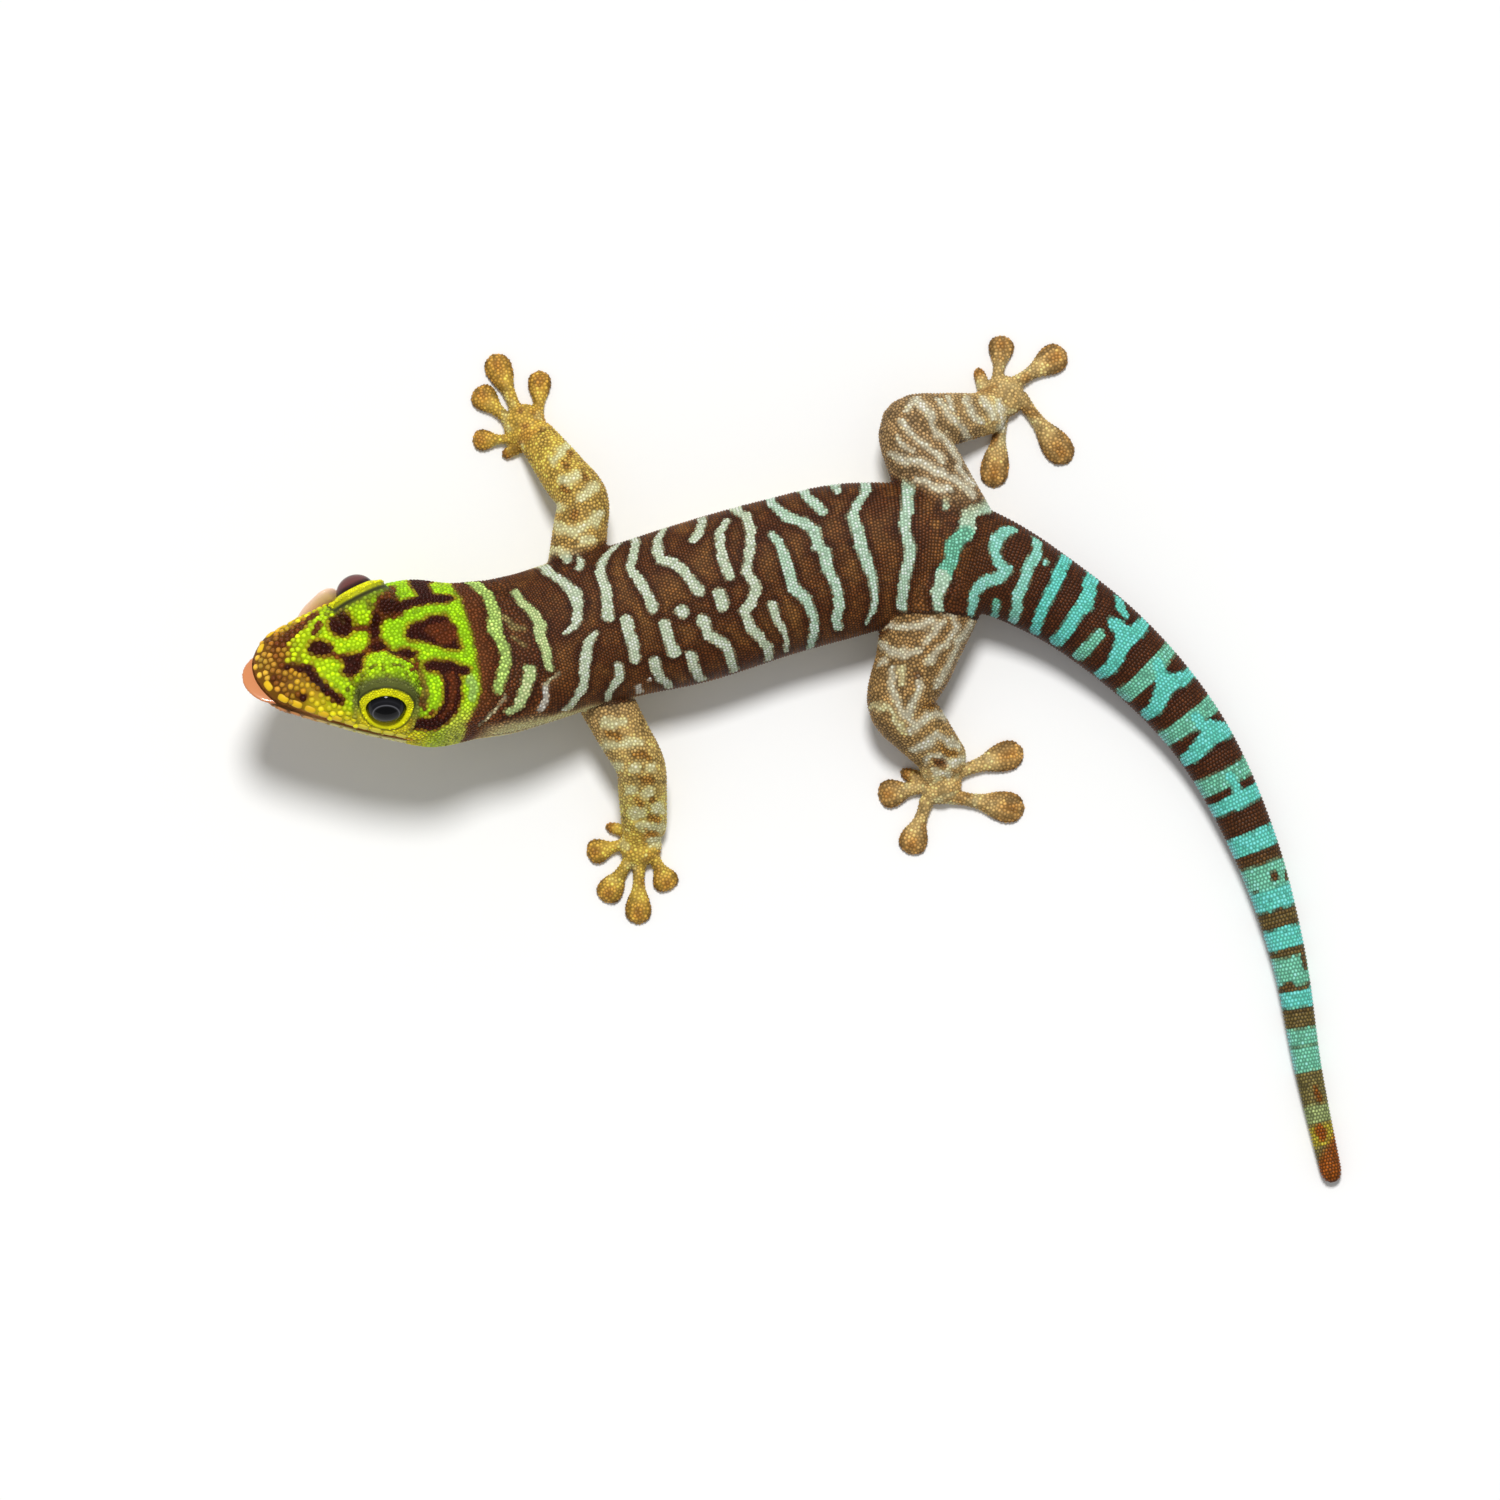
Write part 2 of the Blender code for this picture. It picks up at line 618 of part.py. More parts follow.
def tongue_body(name, grow=0.0):
    """The pad in the mouth and the band up the side of the snout, as one body."""
    axes = head_axes()
    pad = ellipsoid(name, head_point(*TONGUE_PAD), axes, [r + grow for r in TONGUE_PAD_RADII])
    rows = TONGUE_BAND
    faces = [sum((axis * part for axis, part in zip(axes, row[5])), Vector()) for row in rows]
    band = sweep("band", [head_point(*row[:3]) for row in rows], [row[3] + grow for row in rows],
                 [row[4] + grow for row in rows], 12, up=faces)
    return fuse(pad, [band])


def make_tongue():
    """The tongue."""
    finish(tongue_body("tongue"), "tongue", 0.25)


def make_trunk():
    """Neck, torso and three lengths of tail, each with a thin gap to the next."""
    half = GAP / 2
    body_piece("neck", HEAD_LENGTH + half, NECK_END - half, 5, 24)
    body_piece("torso", NECK_END + half, TORSO_END - half, 19, 24)
    body_piece("tail_base", TORSO_END + half, TAIL_BASE_END - half, 8, 18)
    body_piece("tail_middle", TAIL_BASE_END + half, TAIL_MIDDLE_END - half, 10, 16)
    body_piece("tail_tip", TAIL_MIDDLE_END + half, BODY_LENGTH - 0.02, 12, 12)
    for name in ("neck", "torso"):
        finish(bpy.data.objects[name], "trunk")
    for name in ("tail_base", "tail_middle", "tail_tip"):
        made = bpy.data.objects[name]
        slice_off(made, (0, 0, FLOOR), (0, 0, -1))
        finish(made, "tail")


def toe(name, root, tip, pad, shape):
    """One toe on the floor, a thin stem that widens into a round pad of this half width."""
    root, tip = np.array(root), np.array(tip)
    along = (tip - root) / np.linalg.norm(tip - root)
    side = np.array((-along[1], along[0]))
    table = np.array(shape, float)
    turn = np.linspace(0, 2 * np.pi, 10, endpoint=False)
    rings = []
    for share, width, height in table:
        middle = root + (tip - root) * share
        flat = middle + side * (width * pad * np.cos(turn))[:, None]
        half = (height + UNDER_FLOOR) / 2
        level = half - UNDER_FLOOR + half * np.sin(turn)
        rings.append(np.column_stack([flat, level]))
    return mesh_from_rings(name, np.array(rings))


def heel(name, start, along, ankle, palm):
    """From the cut end of the lower leg to the middle of the palm."""
    side = Vector((0, 0, 1)).cross(along).normalized()
    turn = np.linspace(0, 2 * np.pi, 14, endpoint=False)
    ends = []
    for middle, axis, wide, high in ((start, along, ankle, ankle * LIMB_FLATTER),
                                     (palm, (palm - start).normalized(), PALM_RADII[0] * 0.8,
                                      PALM_RADII[2] * 0.8)):
        over = axis.cross(side).normalized()
        ends.append(np.array(middle) + np.outer(np.cos(turn) * wide, side)
                    + np.outer(np.sin(turn) * high, over))
    first, last = ends
    return mesh_from_rings(name, np.array([first, first * 0.65 + last * 0.35, last]))


def make_leg(name, leg, trunk):
    """One leg as upper leg, lower leg and foot."""
    root, bend, wrist = Vector(leg["root"]), Vector(leg["bend"]), Vector(leg["wrist"])
    thick, knee = leg["upper"]
    low, ankle = leg["lower"]
    palm = Vector((*leg["palm"], PALM_MIDDLE_OVER))
    flat = LIMB_FLATTER
    upper = sweep(f"{name}_upper", [root, (root + bend) / 2, bend], [thick, (thick + knee) / 2, knee],
                  [thick * flat, (thick + knee) / 2 * flat, knee * flat], 14)
    lower = sweep(f"{name}_lower", [bend, (bend + wrist) / 2, wrist], [knee, low, ankle],
                  [knee * flat, low * flat, ankle * flat], 14)
    turn = ((bend - root).normalized() + (wrist - bend).normalized()).normalized()
    end = (wrist - bend).normalized()
    slice_off(upper, bend - turn * (GAP / 2), turn)
    slice_off(lower, bend + turn * (GAP / 2), -turn)
    slice_off(lower, wrist - end * (GAP / 2), end)
    cut(upper, trunk)
    foot = ellipsoid(f"{name}_foot", palm, ((1, 0, 0), (0, 1, 0), (0, 0, 1)), PALM_RADII, 14, 8)
    pieces = [heel(f"{name}_heel", wrist + end * (GAP / 2), end, ankle, palm)]
    for i, (start, tip, pad) in enumerate(leg["toes"]):
        shape = STUB_SHAPE if i == 0 else TOE_SHAPE
        pieces.append(toe(f"{name}_toe_{i}", start, tip, pad, shape))
    fuse(foot, pieces)
    room = sweep(f"{name}_room", [bend, (bend + wrist) / 2, wrist],
                 [knee + GAP, low + GAP, ankle + GAP],
                 [knee * flat + GAP, low * flat + GAP, ankle * flat + GAP], 14)
    slice_off(room, wrist, end)
    slice_off(foot, (0, 0, FLOOR), (0, 0, -1))
    cut(foot, room, "MANIFOLD")
    bpy.data.objects.remove(room)
    keep_closed(foot)
    finish(upper, "leg")
    finish(lower, "leg")
    finish(foot, "foot")


def make_legs():
    """Four legs, cut clear of the trunk."""
    trunk = body_piece("trunk_cutter", 12.0, 80.0, 34, 24, grow=GAP)
    for name, leg in LEGS.items():
        make_leg(name, leg, trunk)
    bpy.data.objects.remove(trunk)


clear_scene()
make_head()
make_eyes()
make_tongue()
make_trunk()
make_legs()
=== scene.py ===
"""The looks of the young day gecko: one skin with scales over it, two eyes and a wet tongue.

Lengths are in millimetres and become metres when a mesh is made. "Back" is the distance behind
the tip of the snout along the body, and "arc" is the way from the ridge of the back down a side,
positive on the animal's left. The markings were read from the photograph as strokes and
patches in these two measures, and on the legs as strokes seen from above.
"""

import math

import bpy
import numpy as np
from mathutils import Matrix, Vector
from mathutils.bvhtree import BVHTree
from mathutils.kdtree import KDTree


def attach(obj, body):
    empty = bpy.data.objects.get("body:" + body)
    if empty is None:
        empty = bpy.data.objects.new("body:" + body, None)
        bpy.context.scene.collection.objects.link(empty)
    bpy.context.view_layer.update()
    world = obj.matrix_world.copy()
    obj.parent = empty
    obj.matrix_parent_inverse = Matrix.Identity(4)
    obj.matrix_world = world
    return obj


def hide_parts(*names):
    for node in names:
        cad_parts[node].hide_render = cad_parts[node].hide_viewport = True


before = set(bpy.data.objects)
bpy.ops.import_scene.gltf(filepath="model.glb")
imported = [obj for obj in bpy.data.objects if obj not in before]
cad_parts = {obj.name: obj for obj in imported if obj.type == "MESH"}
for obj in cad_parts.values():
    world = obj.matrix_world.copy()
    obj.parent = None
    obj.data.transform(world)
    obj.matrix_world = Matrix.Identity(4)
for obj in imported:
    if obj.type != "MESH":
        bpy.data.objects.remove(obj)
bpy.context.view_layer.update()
rng = np.random.default_rng(7)

MM = 0.001
VOXEL = 0.15
TONGUE_VOXEL = 0.09
COAT = 0.06  # the skin lies this far inside the solids
SECTION_POWER = 2.2  # the sections of the body would be ellipses at 2
LEGS_FROM = 18.5  # distance behind the snout from which there are legs
LID_LIFT = 0.2  # the lids are further out along an eye's axis than this
SKIN_STEPS = 3
JOINT_STEPS = 26
KNEE_STEPS = 28

# The coat of scales
HEAD_TO = 19.5  # distances behind the snout where one mesh of scales ends and the next begins
TRUNK_PARTED = 40
TAIL_FROM = 60
LEGS_PARTED = -5.0  # the front legs are on one side of this place along X
ROWS_FROM = 22.5  # distance behind the snout from which the scales lie in rings
RING_STEP = (0.88, 0.98)  # of a scale's size, on trunk and tail
CLOSER_TO = 61  # how far the first of the two holds
RINGS_TO = 0.66  # share of the way to the belly's middle that has small scales
BELLY_SCALE = 1.9  # of the small ones
SHAKE = 0.022
LEG_SCALE = 0.27
LID_SCALE = 0.2
SNOUT_SCALE = 0.5
TRIES_PER_SCALE = 7
SPACING = 0.8  # of a scale's size
SCALE_REACH = 0.62
SCALE_HEIGHT = 0.3
GRAIN_CORNERS = 8
GRAIN_TURN = 0.26
LABIAL_CORNERS = 16
LABIAL_STEP = 1.02
# Painted shade on the skin between the scales and at the scales' rims, and painted light at their peaks, at
# these distances behind the snout, and on legs and feet
SHADES_AT = (2, 5, 17, 20)
PAINTED_GAP_SHADE = (0.72, 0.88, 0.84, 0.62)
PAINTED_GAP_SHADE_ON_FEET = 0.82
PAINTED_RIM_SHADE = (0.66, 0.9, 0.86, 0.58)
PAINTED_RIM_SHADE_ON_LEGS = 0.7
PAINTED_RIM_SHADE_ON_FEET = 0.86
PAINTED_PEAK_LIGHT = (1.18, 1.12, 1.14, 1.25)
PAINTED_PEAK_LIGHT_ON_LEGS = 1.22

# The same sizes as in the part's source
NAPE = Vector((-26.2, 8.4, 9.0))
HEAD_LENGTH = 17.5
HEAD_TURN = math.radians(5.0)
HEAD_TILT = math.radians(11.0)
HEAD_ROLL = math.radians(32.0)
SNOUT_ROUND = 2.2
TAIL_ROUND = 1.2
HEAD_SECTIONS = (
    (0.0, 2.7, 1.25, 1.6),
    (2.0, 3.5, 1.65, 1.95),
    (4.0, 4.4, 2.15, 2.4),
    (6.0, 5.2, 2.6, 2.95),
    (8.0, 5.98, 2.95, 3.6),
    (10.5, 6.7, 3.2, 4.5),
    (14.0, 7.2, 3.2, 6.3),
    (17.5, 6.5, 3.1, 7.2),
)
TRUNK_SECTIONS = (
    (-23.5, 8.5, 8.1, 6.4, 3.4, 6.3, 26),
    (-21.1, 8.95, 7.2, 6.2, 3.8, 5.3, 17),
    (-17.1, 10.2, 6.0, 6.1, 4.1, 4.8, 6),
    (-13.4, 11.15, 5.3, 6.15, 4.3, 4.6, 1),
    (-9.0, 12.3, 5.0, 6.4, 4.3, 4.5, 0),
    (-1.2, 14.65, 4.7, 6.3, 4.3, 4.2, 0),
    (5.3, 16.2, 4.7, 6.1, 4.2, 4.2, 0),
    (10.3, 16.7, 4.6, 5.3, 3.9, 4.0, 0),
    (15.6, 15.75, 4.2, 4.1, 3.4, 3.5, 0),
    (20.6, 13.2, 3.5, 3.45, 2.95, 3.1, 0),
    (25.85, 9.4, 2.9, 3.1, 2.6, 2.8, 0),
    (32.45, 2.3, 2.1, 2.5, 2.1, 2.2, 0),
    (36.95, -6.3, 1.6, 1.95, 1.65, 1.7, 0),
    (39.85, -15.5, 1.2, 1.45, 1.25, 1.3, 0),
    (41.55, -25.0, 0.93, 1.12, 0.95, 1.03, 0),
    (43.6, -34.1, 0.72, 0.85, 0.7, 0.8, 0),
)
EYE_RADIUS = 1.62
EYE_EDGE = 1.13
# For the left eye, 1, and for the right, -1
EYE_BACK = {1: 10.05, -1: 9.6}
EYE_SIDE = {1: 4.25, -1: 4.42}
EYE_OVER = {1: 1.78, -1: 1.7}
EYE_HIGH = {1: 1.1, -1: 1.5}
EYE_LOOK_UP = {1: math.radians(6.0), -1: math.radians(21.0)}
EYE_LOOK_FORWARD = {1: math.radians(10.0), -1: math.radians(20.0)}
LID_RING = 2.15
LID_OUT = 0.95
LID_THICK = 0.32
BROW_RADIUS = 2.9
BROW_IN = 0.85
MOUTH_TIP_UNDER = -0.1
MOUTH_CORNER = 11.8
MOUTH_CORNER_UNDER = 1.2
MOUTH_OPEN_TIP = 0.7
MOUTH_OPEN_CORNER = 0.32
NOSTRIL = (1.7, 2.2, 0.75)
EAR = (15.3, 2.0)
TONGUE_PAD = (2.05, 0.55, -0.05)
TONGUE_PAD_RADII = (2.95, 2.6, 0.32)
TONGUE_BAND = (
    (2.2, -0.3, -0.07, 0.6, 0.26, (-0.2, 0.3, 1.0)),
    (1.9, -1.7, -0.25, 0.65, 0.3, (-0.3, 0.4, 0.9)),
    (2.4, -3.0, -0.9, 0.7, 0.34, (-0.3, 0.7, 0.7)),
    (3.7, -4.15, -1.55, 0.75, 0.38, (-0.3, 0.9, 0.4)),
    (5.0, -4.95, -1.5, 0.95, 0.42, (-0.3, 0.95, 0.2)),
    (5.95, -5.7, -0.6, 1.1, 0.46, (-0.25, 1.0, 0.1)),
    (7.0, -6.15, 0.5, 1.15, 0.44, (-0.2, 1.0, 0.0)),
)
LEGS = {
    "front_right": {
        "root": (-17.4, 14.6, 5.6), "bend": (-16.8, 20.9, 4.7), "wrist": (-20.4, 25.7, 1.75),
        "palm": (-21.5, 26.9), "upper": (2.4, 2.1), "lower": (1.95, 1.6),
        "toes": (((-22.0, 25.2), (-23.3, 24.4), 0.5), ((-22.4, 25.8), (-25.7, 25.7), 0.9),
                 ((-22.6, 27.1), (-25.5, 29.8), 1.12), ((-22.0, 27.7), (-24.1, 32.6), 1.15),
                 ((-20.4, 27.0), (-20.3, 31.3), 0.98)),
    },
    "front_left": {
        "root": (-15.9, 6.4, 5.2), "bend": (-12.1, -0.7, 4.5), "wrist": (-11.9, -5.2, 1.75),
        "palm": (-12.2, -6.9), "upper": (2.3, 2.0), "lower": (1.97, 1.85),
        "toes": (((-13.2, -5.8), (-15.0, -5.35), 0.5), ((-13.1, -6.7), (-16.5, -7.6), 1.05),
                 ((-12.9, -7.8), (-15.2, -11.4), 1.12), ((-12.3, -8.3), (-12.4, -13.25), 1.1),
                 ((-11.3, -7.5), (-9.8, -10.5), 1.1)),
    },
    "hind_right": {
        "root": (12.9, 17.4, 4.7), "bend": (9.5, 26.9, 4.0), "wrist": (15.6, 27.8, 1.8),
        "palm": (17.0, 29.2), "upper": (4.1, 2.4), "lower": (2.2, 1.7),
        "toes": (((15.6, 29.6), (14.9, 31.5), 0.55), ((16.5, 30.2), (16.95, 34.1), 1.08),
                 ((17.7, 30.1), (22.0, 32.9), 1.25), ((18.3, 29.2), (22.3, 23.9), 1.25),
                 ((17.0, 28.3), (16.1, 21.9), 1.2)),
    },
    "hind_left": {
        "root": (11.6, 13.65, 4.8), "bend": (8.75, 4.2, 4.0), "wrist": (12.15, 0.2, 1.8),
        "palm": (11.95, -1.9), "upper": (4.1, 2.65), "lower": (2.35, 1.9),
        "toes": (((11.2, -1.9), (8.75, -0.95), 0.6), ((11.0, -2.1), (6.95, -2.95), 1.2),
                 ((10.9, -3.2), (9.4, -7.6), 1.2), ((12.6, -2.9), (18.7, -4.1), 1.3),
                 ((12.8, -1.2), (18.6, 0.75), 1.25)),
    },
}
LIMB_FLATTER = 0.88
PALM_RADII = (1.75, 1.75, 1.15)
PALM_MIDDLE_OVER = 0.75
TOE_SHAPE = (
    (0.0, 0.55, 1.25), (0.28, 0.45, 1.1), (0.44, 0.55, 1.0), (0.6, 0.85, 0.92),
    (0.73, 1.0, 0.88), (0.85, 0.96, 0.82), (0.94, 0.72, 0.68), (1.0, 0.32, 0.4),
)
STUB_SHAPE = ((0.0, 1.2, 1.2), (0.5, 1.0, 0.95), (0.85, 0.8, 0.75), (1.0, 0.45, 0.4))
UNDER_FLOOR = 0.25
BEND_IN = 0.05  # how far a limb's middle line cuts the corner at its bend
WRIST_DROP = 0.2  # how far it lies under the wrist of the solids

# Colours as red, green and blue from 0 to 255
BROWN = (92, 50, 20)
BROWN_LIGHT = (134, 90, 44)
NAPE_BROWN = (98, 50, 22)
PALE = (200, 215, 182)
PALE_AQUA = (184, 216, 186)
PALE_FLANK = (206, 200, 184)
NECK_PALE = (172, 202, 104)
NECK_PALE_2 = (186, 208, 138)
TURQUOISE = (104, 214, 192)
TURQUOISE_GREEN = (118, 198, 164)
TURQUOISE_SOFT = (142, 218, 192)
TAIL_GREY_GREEN = (150, 164, 104)
TAIL_BROWN = (82, 44, 20)
TAIL_OLIVE = (124, 112, 62)
TAIL_TIP = (150, 76, 16)
LIME = (170, 208, 14)
LIME_CROWN = (148, 200, 18)
LIME_SNOUT = (178, 204, 14)
MAROON = (52, 16, 6)
RED_BROWN = (98, 50, 14)
SNOUT_GOLD = (186, 132, 42)
YELLOW = (220, 200, 30)
LID_YELLOW = (222, 220, 14)
# Olive skin darkened as painted shade in the folds round the eyes
OLIVE_FOLD_SHADE = (92, 96, 48)
CHEEK_PALE = (188, 196, 68)
# Olive-beige folds of the neck, lighter with painted highlight on their edges
FOLD_LIGHT = (140, 122, 72)
# Pale skin on the ridges of neck folds, partly painted highlight
FOLD_PALE_HIGHLIGHT = (186, 178, 140)
TRAPEZOID_BROWN = (92, 42, 14)
LEG_BROWN = (160, 108, 40)
THROAT = (214, 204, 160)
BELLY = (234, 220, 178)
LEG_PALE = (232, 228, 176)
THIGH_PALE = (230, 228, 204)
FOOT_OCHRE = (136, 88, 34)
MOUTH_RED = (222, 128, 76)
# Painted shade deep in the mouth towards its corners
MOUTH_DEPTH_SHADE = (40, 26, 18)
LIP_LINE = (176, 104, 30)
LIP_FRONT = (222, 146, 76)
UPPER_LIP = (226, 214, 60)
UPPER_LIP_FRONT = (230, 186, 34)
LOWER_LIP = (216, 206, 130)
LOWER_LIP_FRONT = (214, 142, 84)
JAW = (204, 196, 116)
JAW_FRONT = (206, 132, 78)
SNOUT_TIP = (204, 164, 50)
# Painted shade on the skin between the scales of the snout
SNOUT_GAP_SHADE = (98, 56, 12)
EYE_REAR_OLIVE = (124, 108, 30)
CHEEK_GREEN = (160, 196, 92)
BROW_BROWN = (74, 52, 16)
# Painted shade in the crease at the outer edge of the lids
LID_CREASE_SHADE = (46, 44, 22)
# Painted shade in the socket round each eye
SOCKET_SHADE = (30, 26, 16)
# Painted shade in the creases where the trunk meets the left legs
CREASE_SHADE_BROWN = (44, 24, 10)
BELLY_FRONT = (222, 208, 126)
# Painted shade in the creases of the throat
BELLY_CREASE_SHADE = (132, 104, 66)
# Painted bluish sheen on the tail's green marks, on its left side
TAIL_SHEEN_BLUE = (146, 204, 226)
TIP_BROWN = (128, 74, 18)
TIP_YELLOW = (184, 166, 52)
TIP_ORANGE = (146, 76, 12)
TOE_RIM = (136, 92, 40)
PUPIL = (7, 7, 9)
PUPIL_RING = (150, 150, 156)
IRIS = (22, 22, 26)
IRIS_RING = (84, 84, 90)
EYE_BROWN = (112, 66, 62)
TONGUE_COLOUR = (210, 134, 84)
TONGUE_DEEP = (188, 104, 58)
TONGUE_THIN = (236, 200, 170)
FLOOR_COLOUR = (246, 246, 245)


def smooth_table(table, places):
    """Read every column of a table at these places, on smooth curves through its rows."""
    table = np.array(table, float)
    at, values = table[:, 0], table[:, 1:]
    slopes = np.gradient(values, at, axis=0)
    places = np.clip(places, at[0], at[-1])
    left = np.clip(np.searchsorted(at, places, side="right") - 1, 0, len(at) - 2)
    width = (at[left + 1] - at[left])[:, None]
    part = (places - at[left])[:, None] / width
    start = 2 * part**3 - 3 * part**2 + 1
    rise = (part**3 - 2 * part**2 + part) * width
    fall = (part**3 - part**2) * width
    return (start * values[left] + rise * slopes[left]
            + (1 - start) * values[left + 1] + fall * slopes[left + 1])


def head_axes():
    """Forward, left and up of the head, with its turn, tilt and roll."""
    level = Vector((-math.cos(HEAD_TURN), -math.sin(HEAD_TURN), 0.0))
    forward = level * math.cos(HEAD_TILT) + Vector((0, 0, math.sin(HEAD_TILT)))
    side = Vector((0, 0, 1)).cross(forward).normalized()
    over = forward.cross(side)
    left = side * math.cos(HEAD_ROLL) + over * math.sin(HEAD_ROLL)
    return forward, left, forward.cross(left)


def head_point(back, left, over):
    """A place in the head's own directions, as a place in the world."""
    forward, side, up = head_axes()
    return NAPE + forward * (HEAD_LENGTH - back) + side * left + up * over


def head_measures(points):
    """How far behind the snout, to the left and over the axis these places lie."""
    forward, left, up = (np.array(axis) for axis in head_axes())
    away = points - np.array(NAPE)
    return HEAD_LENGTH - away @ forward, away @ left, away @ up


def body_table():
    """Head, neck, trunk and tail as one table: distance behind the snout, then its sections."""
    rows = []
    for back, width, over, under in HEAD_SECTIONS:
        rows.append((back, *head_point(back, 0, 0), width, over, under, math.degrees(HEAD_ROLL)))
    for row in TRUNK_SECTIONS:
        step = math.dist(rows[-1][1:4], row[:3])
        rows.append((rows[-1][0] + step, *row))
    return rows


BODY = body_table()
BODY_LENGTH = BODY[-1][0]


def end_rounding(back):
    """How far the sections shrink near the snout and the tip of the tail."""
    snout = np.clip(1 - back / SNOUT_ROUND, 0, 1)
    tail = np.clip(1 - (BODY_LENGTH - back) / TAIL_ROUND, 0, 1)
    return np.sqrt(np.clip(1 - np.maximum(snout, tail) ** 2, 0.0, 1.0))


def body_frames(back):
    """Middle, left and up of the body's section at each distance behind the snout."""
    step = 0.05
    here = smooth_table(BODY, back)
    forward = smooth_table(BODY, back - step)[:, :3] - smooth_table(BODY, back + step)[:, :3]
    forward /= np.linalg.norm(forward, axis=1)[:, None]
    side = np.cross((0, 0, 1), forward)
    side /= np.linalg.norm(side, axis=1)[:, None]
    over = np.cross(forward, side)
    roll = np.radians(here[:, 6])[:, None]
    return here, side * np.cos(roll) + over * np.sin(roll), over * np.cos(roll) - side * np.sin(roll)


def body_rings(back, turn, grow=0.0):
    """Points round the body at these turns, from the ridge of the back over the left side."""
    back = np.asarray(back, float)
    here, left, up = body_frames(back)
    ease = 2 / SECTION_POWER
    across = np.sign(np.sin(turn)) * np.abs(np.sin(turn)) ** ease
    height = np.sign(np.cos(turn)) * np.abs(np.cos(turn)) ** ease
    shrink = end_rounding(back)[:, None]
    width = here[:, 3:4] * shrink + grow
    over = here[:, 4:5] * shrink + grow
    under = here[:, 5:6] * shrink + grow
    rise = np.where(height > 0, over * height, under * height)
    return (here[:, None, :3] + left[:, None] * (width * across)[..., None]
            + up[:, None] * rise[..., None])


def mesh_of(name, points, corners, faces):
    """A mesh object from its points and the corners of faces that all have as many corners."""
    data = bpy.data.meshes.new(name)
    data.vertices.add(len(points))
    data.vertices.foreach_set("co", np.ascontiguousarray(points, np.float32).ravel())
    corners = np.ascontiguousarray(corners, np.int32)
    data.loops.add(corners.size)
    data.loops.foreach_set("vertex_index", corners.ravel())
    data.polygons.add(faces)
    per_face = corners.size // faces
    data.polygons.foreach_set("loop_start", np.arange(0, corners.size, per_face, dtype=np.int32))
    data.update(calc_edges=True)
    made = bpy.data.objects.new(name, data)
    bpy.context.scene.collection.objects.link(made)
    return made


def tube(name, rings):
    """A closed mesh through rings of points, each end drawn together to a point."""
    count, sides = rings.shape[:2]
    points = np.concatenate([rings.reshape(-1, 3), rings[:1].mean(axis=1), rings[-1:].mean(axis=1)])
    i, j = np.meshgrid(np.arange(count - 1), np.arange(sides), indexing="ij")
    k = (j + 1) % sides
    quads = np.stack([i * sides + j, i * sides + k, (i + 1) * sides + k, (i + 1) * sides + j], -1)
    triangles = [quads.reshape(-1, 4)[:, [0, 1, 2]], quads.reshape(-1, 4)[:, [0, 2, 3]]]
    ring = np.arange(sides)
    ahead = (ring + 1) % sides
    triangles.append(np.stack([np.full(sides, count * sides), ahead, ring], -1))
    last = (count - 1) * sides
    triangles.append(np.stack([np.full(sides, count * sides + 1), last + ring, last + ahead], -1))
    corners = np.concatenate(triangles)
    return mesh_of(name, points, corners, len(corners))


def sweep(name, middles, widths, heights, sides, up=None, grow=0.0):
    """A closed rod with round ends through these places, its section an ellipse."""
    middles = np.array(middles, float)
    faces = np.broadcast_to(np.array((0, 0, 1) if up is None else up, float), middles.shape)
    gone = np.r_[0, np.cumsum(np.linalg.norm(np.diff(middles, axis=0), axis=1))]
    table = np.column_stack([gone, middles, widths, heights, faces])
    turns = np.linspace(0.08, math.pi / 2, 12)
    between = np.linspace(0, gone[-1], 40)[1:-1]
    places = np.r_[-widths[0] * np.cos(turns), between, gone[-1] + widths[-1] * np.cos(turns[::-1])]
    shrink = np.r_[np.sin(turns), np.ones(len(between)), np.sin(turns[::-1])]
    here = smooth_table(table, places)
    along = np.gradient(smooth_table(table, np.linspace(0, gone[-1], 60))[:, :3], axis=0)
    along = along[np.clip((places / gone[-1] * 59).round().astype(int), 0, 59)]
    along /= np.linalg.norm(along, axis=1)[:, None]
    beyond = np.where(places < 0, places, np.clip(places - gone[-1], 0, None))
    centre = here[:, :3] + along * beyond[:, None]
    side = np.cross(here[:, 5:8], along)
    side /= np.linalg.norm(side, axis=1)[:, None]
    over = np.cross(along, side)
    turn = np.linspace(0, 2 * np.pi, sides, endpoint=False)
    wide = (here[:, 3:4] + grow) * shrink[:, None] * np.cos(turn)
    high = (here[:, 4:5] + grow) * shrink[:, None] * np.sin(turn)
    return tube(name, centre[:, None] + side[:, None] * wide[..., None]
                + over[:, None] * high[..., None])


def ellipsoid(name, middle, axes, radii, sides=48):
    """A ball stretched along three directions."""
    tilt = np.linspace(0.03, math.pi - 0.03, sides // 2)
    turn = np.linspace(0, 2 * np.pi, sides, endpoint=False)
    ball = np.stack([np.sin(tilt)[:, None] * np.cos(turn), np.sin(tilt)[:, None] * np.sin(turn),
                     np.cos(tilt)[:, None] + 0 * turn], -1)
    place = np.array([np.array(axis) * radius for axis, radius in zip(axes, radii)])
    return tube(name, ball @ place + np.array(middle))


def applied(made):
    """Turn what the modifiers show into the object's own mesh."""
    seen = made.evaluated_get(bpy.context.evaluated_depsgraph_get())
    data = bpy.data.meshes.new_from_object(seen)
    made.modifiers.clear()
    made.data = data
    return made


